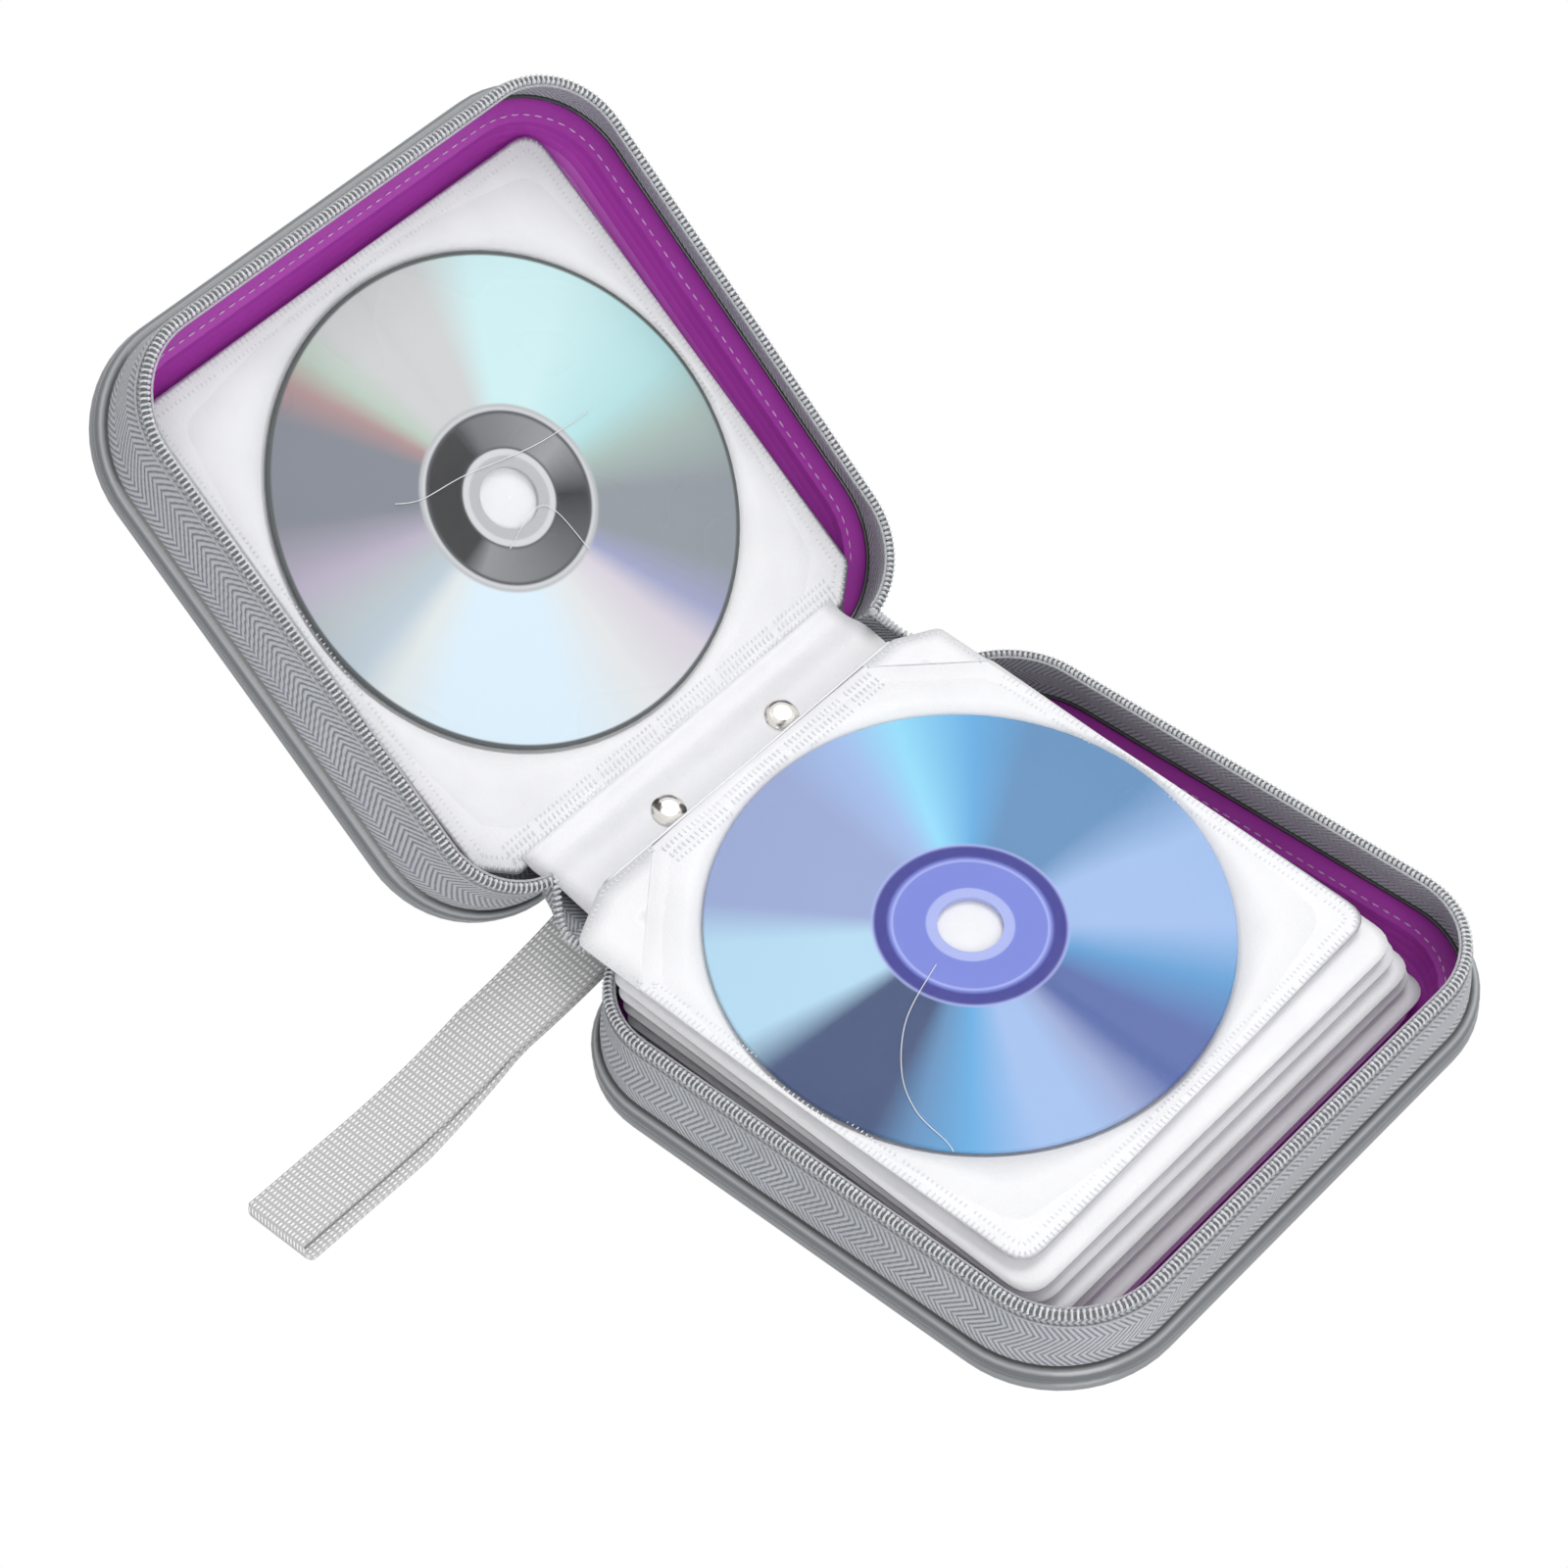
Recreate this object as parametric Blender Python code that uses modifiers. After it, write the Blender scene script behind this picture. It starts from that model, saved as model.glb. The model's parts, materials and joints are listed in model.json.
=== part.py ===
"""Zipped disc wallet: two moulded covers on a soft spine, with sleeves, discs and a wrist loop.

Metres, +Z up. The back cover lies flat on its outside face, the spine runs along Y,
and the front cover is held half open above the -X side. The origin is the middle of
the back cover's outside face.
"""
import math

import bmesh
import bpy
from mathutils import Vector

# Discs, which the sleeves and the covers take their size from
DISC_RADIUS = 0.0600
DISC_THICKNESS = 0.0012
DISC_BORE_RADIUS = 0.0075
DISC_EDGE_BEVEL = 0.0003

# Room round the discs in their sleeves, and round the sleeves in the covers
SLEEVE_OUTER_MARGIN = 0.0070
SLEEVE_SIDE_MARGIN = 0.0043
BACK_DISC_ROOM = 0.0054
FRONT_DISC_ROOM = 0.0185
COVER_OUTER_ROOM = 0.0266
COVER_SIDE_ROOM = 0.0160

# Covers: the corner over the rim, and the section of the moulded dish
CORNER_RADIUS = 0.0300
SHELL_WALL = 0.0018
FLANGE_TOP = 0.0020
FLANGE_WIDTH = 0.0066
DISH_SLOPE_WIDTH = 0.0078
DISH_DEPTH = 0.0082
RIM_THICKNESS = 0.0036
RIM_SLOT_DEPTH = 0.0017
RIM_UPPER_BEAD = (0.0012, 0.0021)
RIM_LOWER_BEAD = (-0.0018, 0.0015)
BEAD_SWEEP = 165
BEAD_STEPS = 6
COVE_STEPS = 6

# Zip: tape walls on three sides, with a coil along their tops
TAPE_THICKNESS = 0.0009
COIL_RADIUS = 0.0013
COIL_INSET_SPINE = 0.0045
COIL_INSET_OUTER = 0.0026
BACK_COIL_LEAN = 0.0062
FRONT_COIL_LEAN = 0.0082
ZIP_START_ANGLE = math.radians(12)
CORNER_STEPS = 8
TAPE_STEPS = 4

# Spine: cloth folded along two hinge lines that stand above the rims
HINGE_HEIGHT = 0.0110
SPINE_SPAN = 0.01936
SPINE_TILT = math.radians(15.9)
COVER_LIFT = math.radians(45.8)
CLOTH_THICKNESS = 0.0012
CLOTH_SIDE_ROOM = 0.0308

# Binding: the bound margins of the sleeves, and the two rivets through them
BINDING_WIDTH = 0.0165
BINDING_OVERHANG = 0.0005
BINDING_THICKNESS = 0.0030
BINDING_SIDE_ROOM = 0.0283
BINDING_SHIFT = 0.0015
BINDING_ROUNDING = 0.0006
RIVET_SPACING = 0.0390
RIVET_FROM_FRONT_HINGE = 0.0030
RIVET_HEAD_RADIUS = 0.0043
RIVET_HEAD_HEIGHT = 0.0017
RIVET_BRIM_HEIGHT = 0.0003
RIVET_POST_RADIUS = 0.0016
RIVET_WASHER_RADIUS = 0.0026
RIVET_WASHER_THICKNESS = 0.0010

# Sleeves: the two top ones hold the discs that show, the others lie below them
SLEEVE_CORNER = 0.0070
LOWEST_SLEEVE_CORNER = 0.0135
SLEEVE_FLOOR = 0.0005
WINDOW_THICKNESS = 0.0003
WINDOW_MARGIN = 0.0025
LOWER_SLEEVE_COUNT = 6
LOWER_SLEEVE_THICKNESS = 0.0030
LOWER_SLEEVE_STEP_OUT = 0.0018
LOWER_SLEEVE_SPINE_GAP = 0.0140
LOWER_SLEEVE_CHAMFER = (0.0100, 0.0180)
LOWEST_SLEEVE_TILT = math.radians(0.6)
TOP_SLEEVE_TILT = math.radians(7.28)
BACK_DISC_SHIFT = -0.0046
FRONT_SLEEVE_TILT = math.radians(3.79)
FRONT_SLEEVE_SPINE_GAP = 0.0110
FRONT_SLEEVE_CHAMFER = (0.0100, 0.0130)
BACK_SLEEVE_SPINE_GAP = 0.0036
BACK_SLEEVE_CHAMFER = (0.0200, 0.0258)
FILM_MARGIN_THICKNESS = 0.0006
FILM_MARGIN_END = 0.0072
FRONT_LOWER_SLEEVE_THICKNESS = 0.0024
FRONT_LOWER_SLEEVE_SPINE_GAP = 0.0180

# Zip slider and its pull, below the far end of the spine
SLIDER_SIZE = (0.0080, 0.0100, 0.0044)
SLIDER_TOP = 0.0005
SLIDER_ROUNDING = 0.0010
BRIDGE_WIRE_RADIUS = 0.0007
BRIDGE_DROP = 0.0030
BRIDGE_REACH = 0.0026
PULL_WIDTH = 0.0060
PULL_LENGTH = 0.0140
PULL_THICKNESS = 0.0011
PULL_BAR = 0.0014
PULL_HOLE_WIDTH = 0.0024
PULL_HOLE_LENGTH = 0.0042
PULL_TAPER = 0.6

# Wrist loop: two plies of webbing that leave the spine's near end and lie on the ground
STRAP_WIDTH = 0.0178
STRAP_THICKNESS = 0.0012
STRAP_PLY_GAP = 0.0008
STRAP_ROOT_X = -0.0097
STRAP_END_X = -0.0144
STRAP_FLOOR_GAP = 0.0003
STRAP_STEPS = 14
STRAP_ROOT_INSET = 0.0383
STRAP_TOUCHDOWN_REACH = 0.0437
STRAP_END_REACH = 0.0717
STRAP_DROP_POWER = 2.2

# Segments of round pieces
DISC_SEGMENTS = 96
SEAT_SEGMENTS = 64
RIVET_SEGMENTS = 32

# Clearance between pieces that touch
GAP = 0.0003

# Derived places: insets from a cover's outline, heights over its rim plane
SLEEVE_REACH = DISC_RADIUS + SLEEVE_OUTER_MARGIN
SLEEVE_HALF_WIDTH = DISC_RADIUS + SLEEVE_SIDE_MARGIN
BACK_DISC_FROM_SPINE = DISC_RADIUS + BACK_DISC_ROOM
FRONT_DISC_FROM_SPINE = DISC_RADIUS + FRONT_DISC_ROOM
TOP_SLEEVE_OUTER = BACK_DISC_FROM_SPINE + SLEEVE_REACH
COVER_LENGTH = TOP_SLEEVE_OUTER + COVER_OUTER_ROOM
COVER_WIDTH = 2 * (SLEEVE_HALF_WIDTH + COVER_SIDE_ROOM)
CLOTH_WIDTH = COVER_WIDTH - 2 * CLOTH_SIDE_ROOM
BINDING_LENGTH = COVER_WIDTH - 2 * BINDING_SIDE_ROOM
DISH_FLOOR = FLANGE_TOP - DISH_DEPTH
RIM_PLANE_HEIGHT = SHELL_WALL - DISH_FLOOR
HALF_LENGTH = COVER_LENGTH / 2
HALF_WIDTH = COVER_WIDTH / 2
STRAP_ROOT_Y = STRAP_ROOT_INSET - HALF_WIDTH
STRAP_TOUCHDOWN_Y = -STRAP_TOUCHDOWN_REACH - HALF_WIDTH
STRAP_END_Y = -STRAP_END_REACH - HALF_WIDTH
RIM_SLOT_INSET = RIM_THICKNESS - RIM_SLOT_DEPTH
FLANGE_EDGE_INSET = RIM_SLOT_INSET + GAP
TAPE_BASE_INSET = RIM_THICKNESS + GAP + TAPE_THICKNESS / 2
TAPE_BASE = FLANGE_TOP + GAP
HINGE_FOOT_INSET = TAPE_BASE_INSET + CLOTH_THICKNESS / 2
CLOSED_HEIGHT = 2 * HINGE_HEIGHT + SPINE_SPAN
COIL_HEIGHT = CLOSED_HEIGHT / 2 - GAP - COIL_RADIUS
BINDING_BASE = CLOTH_THICKNESS / 2 + GAP
BINDING_TOP = BINDING_BASE + BINDING_THICKNESS
SEAT_DEPTH = DISC_THICKNESS + GAP
SLEEVE_THICKNESS = SLEEVE_FLOOR + SEAT_DEPTH
SLEEVE_BASE = DISH_FLOOR + GAP
LOWER_SLEEVE_PITCH = (
    LOWER_SLEEVE_THICKNESS + GAP + LOWER_SLEEVE_STEP_OUT * math.tan(TOP_SLEEVE_TILT) / 2
)
TOP_SLEEVE_EDGE = SLEEVE_BASE + LOWER_SLEEVE_COUNT * LOWER_SLEEVE_PITCH + SLEEVE_THICKNESS
BACK_DISC_HEIGHT = TOP_SLEEVE_EDGE + SLEEVE_REACH * math.tan(TOP_SLEEVE_TILT)
FRONT_SLEEVE_EDGE = SLEEVE_BASE + FRONT_LOWER_SLEEVE_THICKNESS + GAP + SLEEVE_THICKNESS
FRONT_DISC_HEIGHT = FRONT_SLEEVE_EDGE + SLEEVE_REACH * math.tan(FRONT_SLEEVE_TILT)


def clear_scene():
    for old in list(bpy.data.objects):
        bpy.data.objects.remove(old, do_unlink=True)


def new_collection(name):
    collection = bpy.data.collections.new(name)
    bpy.context.scene.collection.children.link(collection)
    return collection


def make_material(name, colour, roughness, metallic=0.0):
    material = bpy.data.materials.new(name)
    material.use_nodes = True
    shader = material.node_tree.nodes["Principled BSDF"]
    shader.inputs["Base Color"].default_value = (*colour, 1.0)
    shader.inputs["Roughness"].default_value = roughness
    shader.inputs["Metallic"].default_value = metallic
    return material


def make_frame(name, parent, location, tilt=0.0):
    """An empty that carries the pieces of one moving part or one pocket."""
    frame = bpy.data.objects.new(name, None)
    parts.objects.link(frame)
    frame.parent = parent
    frame.location = location
    frame.rotation_euler = (0.0, tilt, 0.0)
    return frame


def make_piece(name, data, parent, material, location=(0, 0, 0)):
    piece = bpy.data.objects.new(name, data)
    parts.objects.link(piece)
    piece.parent = parent
    piece.location = location
    data.materials.append(materials[material])
    return piece


def make_cutter(name, mesh, parent, location=(0, 0, 0)):
    cutter = bpy.data.objects.new(name, mesh)
    cutters.objects.link(cutter)
    cutter.parent = parent
    cutter.location = location
    cutter.hide_render = True
    cutter.display_type = "WIRE"
    return cutter


def rounded_ring(spine_inset, side_inset, outer_inset, radius):
    """Points once round a cover's outline, moved in from its edges, from the spine's near corner."""
    low_x = spine_inset + radius
    high_x = COVER_LENGTH - outer_inset - radius
    reach_y = HALF_WIDTH - side_inset - radius
    corners = (
        (low_x, -reach_y, 180),
        (high_x, -reach_y, 270),
        (high_x, reach_y, 0),
        (low_x, reach_y, 90),
    )
    points = []
    for centre_x, centre_y, start in corners:
        for step in range(CORNER_STEPS + 1):
            angle = math.radians(start + 90 * step / CORNER_STEPS)
            points.append((
                centre_x + radius * math.cos(angle),
                centre_y + radius * math.sin(angle),
            ))
    return points


def even_ring(inset):
    return rounded_ring(inset, inset, inset, CORNER_RADIUS - inset)


def zip_path(spine_inset, side_inset, outer_inset):
    """The three open sides of the same outline, short of the spine at both ends."""
    radius = CORNER_RADIUS - side_inset
    ring = rounded_ring(spine_inset, side_inset, outer_inset, radius)
    centre_x = spine_inset + radius
    reach_y = HALF_WIDTH - side_inset - radius
    start_x = centre_x - radius * math.cos(ZIP_START_ANGLE)
    start_y = reach_y + radius * math.sin(ZIP_START_ANGLE)
    between = [point for point in ring if abs(point[1]) > start_y or point[0] > centre_x]
    return [(start_x, -start_y), *between, (start_x, start_y)]


def grid_mesh(name, rows, ring=False, loop=False, cap_first=False, cap_last=False):
    """A surface through rows of points; ring joins each row's ends, loop the last row to the first."""
    count = len(rows[0])
    points = [point for row in rows for point in row]
    faces = []
    for row in range(len(rows) if loop else len(rows) - 1):
        after = (row + 1) % len(rows)
        for step in range(count if ring else count - 1):
            beside = (step + 1) % count
            faces.append((
                row * count + step, row * count + beside,
                after * count + beside, after * count + step,
            ))
    if cap_first:
        faces.append(tuple(range(count)))
    if cap_last:
        last = (len(rows) - 1) * count
        faces.append(tuple(range(last, last + count)))
    mesh = bpy.data.meshes.new(name)
    mesh.from_pydata(points, [], faces)
    surface = bmesh.new()
    surface.from_mesh(mesh)
    bmesh.ops.recalc_face_normals(surface, faces=surface.faces[:])
    surface.to_mesh(mesh)
    surface.free()
    return mesh


def face_up(mesh):
    """Turns an open surface over where most of it looks down."""
    if sum(face.normal.z * face.area for face in mesh.polygons) < 0:
        mesh.flip_normals()


def cylinder_mesh(name, radius, depth):
    mesh = bpy.data.meshes.new(name)
    solid = bmesh.new()
    bmesh.ops.create_cone(
        solid, cap_ends=True, segments=SEAT_SEGMENTS, radius1=radius, radius2=radius, depth=depth
    )
    solid.to_mesh(mesh)
    solid.free()
    return mesh


def block_mesh(name, size, rounding):
    mesh = bpy.data.meshes.new(name)
    solid = bmesh.new()
    bmesh.ops.create_cube(solid, size=1.0)
    bmesh.ops.scale(solid, vec=size, verts=solid.verts[:])
    bmesh.ops.bevel(
        solid, geom=solid.edges[:], offset=rounding, segments=2, affect="EDGES", profile=0.5
    )
    solid.to_mesh(mesh)
    solid.free()
    return mesh


def plate_mesh(name, stations, sign):
    """A plate whose stations each give the place along X, the half width and the thickness."""
    rows = [
        [
            (sign * x, -half, 0.0), (sign * x, half, 0.0),
            (sign * x, half, -thickness), (sign * x, -half, -thickness),
        ]
        for x, half, thickness in stations
    ]
    return grid_mesh(name, rows, ring=True, cap_first=True, cap_last=True)


def rounded_end(reach, half_width, corner, thickness):
    """The stations of a plate's outer edge, with two rounded corners."""
    stations = []
    for step in range(6):
        angle = math.radians(90 * step / 5)
        stations.append((
            reach - corner + corner * math.sin(angle),
            half_width - corner + corner * math.cos(angle),
            thickness,
        ))
    return stations


def even_plate(start, chamfer, reach, half_width, corner, thickness):
    """The stations of a plate of one thickness with two chamfered corners at its spine end."""
    return [
        (start, half_width - chamfer[1], thickness),
        (start + chamfer[0], half_width, thickness),
        *rounded_end(reach, half_width, corner, thickness),
    ]


def thicken(piece, thickness, offset):
    solidify = piece.modifiers.new("Thickness", "SOLIDIFY")
    solidify.thickness = thickness
    solidify.offset = offset
    solidify.use_even_offset = True


def shade_round(piece, angle):
    piece.data.shade_smooth()
    piece.data.set_sharp_from_angle(angle=math.radians(angle))


def combine(piece, other, operation):
    boolean = piece.modifiers.new(other.name, "BOOLEAN")
    boolean.operation = operation
    boolean.solver = "EXACT"
    boolean.object = other


def turned(name, profile, steps, parent, material, location, closed):
    """A profile in the XZ plane turned about Z."""
    mesh = bpy.data.meshes.new(name)
    count = len(profile)
    edges = [(step, step + 1) for step in range(count - 1)]
    if closed:
        edges.append((count - 1, 0))
    mesh.from_pydata([(radius, 0.0, height) for radius, height in profile], edges, [])
    piece = make_piece(name, mesh, parent, material, location)
    screw = piece.modifiers.new("Turn", "SCREW")
    screw.steps = steps
    screw.render_steps = steps
    screw.use_merge_vertices = True
    screw.merge_threshold = 0.00001
    return piece


def flat_curve(name, loops, depth):
    """Closed outlines in the XY plane, filled and given a depth along Z."""
    curve = bpy.data.curves.new(name, "CURVE")
    curve.dimensions = "2D"
    curve.fill_mode = "BOTH"
    curve.extrude = depth / 2
    for loop in loops:
        spline = curve.splines.new("POLY")
        spline.points.add(len(loop) - 1)
        for point, (across, up) in zip(spline.points, loop):
            point.co = (across, up, 0.0, 1.0)
        spline.use_cyclic_u = True
    return curve


def wire_curve(name, points, radius):
    """A round wire through points, with its ends closed."""
    curve = bpy.data.curves.new(name, "CURVE")
    curve.dimensions = "3D"
    curve.bevel_depth = radius
    curve.bevel_resolution = 2
    curve.use_fill_caps = True
    spline = curve.splines.new("POLY")
    spline.points.add(len(points) - 1)
    for point, place in zip(spline.points, points):
        point.co = (*place, 1.0)
    return curve


def mesh_of(name, curve):
    """The mesh of a curve, with its caps welded to its sides."""
    carrier = bpy.data.objects.new(name, curve)
    parts.objects.link(carrier)
    bpy.context.view_layer.update()
    evaluated = carrier.evaluated_get(bpy.context.evaluated_depsgraph_get())
    mesh = bpy.data.meshes.new_from_object(evaluated)
    bpy.data.objects.remove(carrier, do_unlink=True)
    weld = bmesh.new()
    weld.from_mesh(mesh)
    bmesh.ops.remove_doubles(weld, verts=weld.verts[:], dist=0.00001)
    bmesh.ops.recalc_face_normals(weld, faces=weld.faces[:])
    weld.to_mesh(mesh)
    weld.free()
    return mesh


def build_shell(side, sign, parent, lift):
    """One moulded cover: a sewing flange all round, a concave cove and a flat panel."""
    name = side + "_shell"
    flange_inner = FLANGE_EDGE_INSET + FLANGE_WIDTH
    section = [(FLANGE_EDGE_INSET, FLANGE_TOP)]
    for step in range(COVE_STEPS + 1):
        angle = math.radians(90 * step / COVE_STEPS)
        section.append((
            flange_inner + DISH_SLOPE_WIDTH * (1 - math.cos(angle)),
            FLANGE_TOP - DISH_DEPTH * math.sin(angle),
        ))
    rows = [[(sign * x, y, z) for x, y in even_ring(inset)] for inset, z in section]
    mesh = grid_mesh(name, rows, ring=True, cap_last=True)
    face_up(mesh)
    shell = make_piece(name, mesh, parent, "purple_shell", (0, 0, lift))
    thicken(shell, SHELL_WALL, -1.0)
    shade_round(shell, 60)


def build_rim(side, sign, parent, lift):
    """The bumper strip round a cover: two beads outside, and a slot that holds the flange."""
    name = side + "_rim"
    slot_top = FLANGE_TOP + GAP
    slot_low = FLANGE_TOP - SHELL_WALL - GAP
    section = [(RIM_THICKNESS, slot_top)]
    for (middle, half), start in ((RIM_UPPER_BEAD, 90), (RIM_LOWER_BEAD, BEAD_SWEEP - 90)):
        for step in range(BEAD_STEPS + 1):
            angle = math.radians(start - BEAD_SWEEP * step / BEAD_STEPS)
            section.append((
                RIM_THICKNESS - RIM_THICKNESS * max(math.cos(angle), 0.0),
                middle + half * math.sin(angle),
            ))
    section += [
        (RIM_THICKNESS, slot_low),
        (RIM_SLOT_INSET, slot_low),
        (RIM_SLOT_INSET, slot_top),
    ]
    rows = [[(sign * x, y, z) for x, y in even_ring(inset)] for inset, z in section]
    mesh = grid_mesh(name, rows, ring=True, loop=True)
    rim = make_piece(name, mesh, parent, "rim_grey", (0, 0, lift))
    shade_round(rim, 50)


def build_zip(side, sign, parent, lift, lean):
    """The tape wall on three sides, which leans in as it rises, and the coil on top of it."""
    name = side + "_zip_tape"
    top = COIL_HEIGHT - COIL_RADIUS - GAP
    rows = []
    for step in range(TAPE_STEPS + 1):
        level = step / TAPE_STEPS
        ease = level * level * (3 - 2 * level)
        path = zip_path(
            TAPE_BASE_INSET + (COIL_INSET_SPINE - TAPE_BASE_INSET) * ease,
            TAPE_BASE_INSET + (lean - TAPE_BASE_INSET) * ease,
            TAPE_BASE_INSET + (COIL_INSET_OUTER - TAPE_BASE_INSET) * ease,
        )
        height = TAPE_BASE + (top - TAPE_BASE) * level
        rows.append([(sign * x, y, height) for x, y in path])
    tape = make_piece(name, grid_mesh(name, rows), parent, "zip_tape", (0, 0, lift))
    thicken(tape, TAPE_THICKNESS, 0.0)
    shade_round(tape, 60)

    path = zip_path(COIL_INSET_SPINE, lean, COIL_INSET_OUTER)
    coil = wire_curve(
        side + "_zip_coil", [(sign * x, y, COIL_HEIGHT) for x, y in path], COIL_RADIUS
    )
    make_piece(side + "_zip_coil", coil, parent, "zip_coil", (0, 0, lift))


def build_hinge_cloth(side, sign, parent, lift):
    """The cloth that stands on a cover's flange and reaches up to its hinge line."""
    name = side + "_hinge_cloth"
    foot = Vector((sign * HINGE_FOOT_INSET, FLANGE_TOP + GAP + CLOTH_THICKNESS / 4))
    hinge = Vector((0.0, HINGE_HEIGHT))
    along = (hinge - foot).normalized()
    across = Vector((-along.y, along.x)) * CLOTH_THICKNESS / 2
    head = hinge - along * (CLOTH_THICKNESS / 2 + GAP)
    outline = [foot - across, head - across, head + across, foot + across]
    curve = flat_curve(name, [[tuple(point) for point in outline]], CLOTH_WIDTH)
    cloth = make_piece(name, curve, parent, "grey_cloth", (0, 0, lift))
    cloth.rotation_euler = (math.pi / 2, 0.0, 0.0)


def build_disc(name, parent):
    """A disc with its bore, seated in its pocket."""
    bevel = DISC_EDGE_BEVEL
    profile = [
        (DISC_BORE_RADIUS, 0.0),
        (DISC_RADIUS - bevel, 0.0),
        (DISC_RADIUS, -bevel),
        (DISC_RADIUS, bevel - DISC_THICKNESS),
        (DISC_RADIUS - bevel, -DISC_THICKNESS),
        (DISC_BORE_RADIUS, -DISC_THICKNESS),
    ]
    disc = turned(name, profile, DISC_SEGMENTS, parent, name, (0, 0, 0), closed=True)
    shade_round(disc, 30)


def build_pocket(side, sign, frame, stations, start, chamfer):
    """A top sleeve with its disc seat, and the clear window over it."""
    name = side + "_sleeve_top"
    sleeve = make_piece(name, plate_mesh(name, stations, sign), frame, "white_film")
    seat = cylinder_mesh(side + "_disc_seat", DISC_RADIUS + GAP, 2 * SEAT_DEPTH)
    combine(sleeve, make_cutter(side + "_disc_seat", seat, frame), "DIFFERENCE")
    window = even_plate(
        start + WINDOW_MARGIN, chamfer, SLEEVE_REACH - WINDOW_MARGIN,
        SLEEVE_HALF_WIDTH - WINDOW_MARGIN, SLEEVE_CORNER, WINDOW_THICKNESS,
    )
    name = side + "_sleeve_window"
    make_piece(
        name, plate_mesh(name, window, sign), frame, "clear_film",
        (0, 0, GAP + WINDOW_THICKNESS),
    )


def build_back_sleeves():
    """A fan of filled sleeves, each resting on the one below at its outer edge."""
    tilt_step = (TOP_SLEEVE_TILT - LOWEST_SLEEVE_TILT) / LOWER_SLEEVE_COUNT
    for index in range(LOWER_SLEEVE_COUNT):
        name = "back_sleeve_%d" % (index + 1)
        outer = TOP_SLEEVE_OUTER + (LOWER_SLEEVE_COUNT - index) * LOWER_SLEEVE_STEP_OUT
        stations = even_plate(
            LOWER_SLEEVE_SPINE_GAP - outer, LOWER_SLEEVE_CHAMFER, 0.0, SLEEVE_HALF_WIDTH,
            SLEEVE_CORNER if index else LOWEST_SLEEVE_CORNER, LOWER_SLEEVE_THICKNESS,
        )
        shift = BACK_DISC_SHIFT * index / LOWER_SLEEVE_COUNT
        top = SLEEVE_BASE + index * LOWER_SLEEVE_PITCH + LOWER_SLEEVE_THICKNESS
        sleeve = make_piece(
            name, plate_mesh(name, stations, 1), back_frame, "white_film", (outer, shift, top)
        )
        sleeve.rotation_euler = (0.0, LOWEST_SLEEVE_TILT + index * tilt_step, 0.0)

    pocket = make_frame(
        "back_pocket", back_frame,
        (BACK_DISC_FROM_SPINE, BACK_DISC_SHIFT, BACK_DISC_HEIGHT), TOP_SLEEVE_TILT,
    )
    start = BACK_SLEEVE_SPINE_GAP - BACK_DISC_FROM_SPINE
    narrow = SLEEVE_HALF_WIDTH - BACK_SLEEVE_CHAMFER[1]
    widening = FILM_MARGIN_END - BACK_SLEEVE_SPINE_GAP
    margin_half = narrow + BACK_SLEEVE_CHAMFER[1] * widening / BACK_SLEEVE_CHAMFER[0]
    stations = [
        (start, narrow, FILM_MARGIN_THICKNESS),
        (start + widening, margin_half, FILM_MARGIN_THICKNESS),
        (start + widening + GAP, margin_half, SLEEVE_THICKNESS),
        (start + BACK_SLEEVE_CHAMFER[0], SLEEVE_HALF_WIDTH, SLEEVE_THICKNESS),
        *rounded_end(SLEEVE_REACH, SLEEVE_HALF_WIDTH, SLEEVE_CORNER, SLEEVE_THICKNESS),
    ]
    build_pocket("back", 1, pocket, stations, start, BACK_SLEEVE_CHAMFER)
    build_disc("blue_disc", pocket)


def build_front_sleeves():
    """One filled sleeve in the front cover's dish, and the top sleeve tilted on it."""
    pocket = make_frame(
        "front_pocket", front_hinge,
        (-FRONT_DISC_FROM_SPINE, 0.0, FRONT_DISC_HEIGHT - HINGE_HEIGHT), -FRONT_SLEEVE_TILT,
    )
    start = FRONT_SLEEVE_SPINE_GAP - FRONT_DISC_FROM_SPINE
    stations = even_plate(
        start, FRONT_SLEEVE_CHAMFER, SLEEVE_REACH, SLEEVE_HALF_WIDTH, SLEEVE_CORNER,
        SLEEVE_THICKNESS,
    )
    build_pocket("front", -1, pocket, stations, start, FRONT_SLEEVE_CHAMFER)
    build_disc("silver_disc", pocket)
    outer = FRONT_DISC_FROM_SPINE + SLEEVE_REACH - LOWER_SLEEVE_STEP_OUT
    lower = even_plate(
        FRONT_LOWER_SLEEVE_SPINE_GAP - outer, LOWER_SLEEVE_CHAMFER, 0.0, SLEEVE_HALF_WIDTH,
        LOWEST_SLEEVE_CORNER, FRONT_LOWER_SLEEVE_THICKNESS,
    )
    top = SLEEVE_BASE + FRONT_LOWER_SLEEVE_THICKNESS - HINGE_HEIGHT
    make_piece(
        "front_sleeve_1", plate_mesh("front_sleeve_1", lower, -1), front_hinge, "white_film",
        (-outer, 0.0, top),
    )


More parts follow.
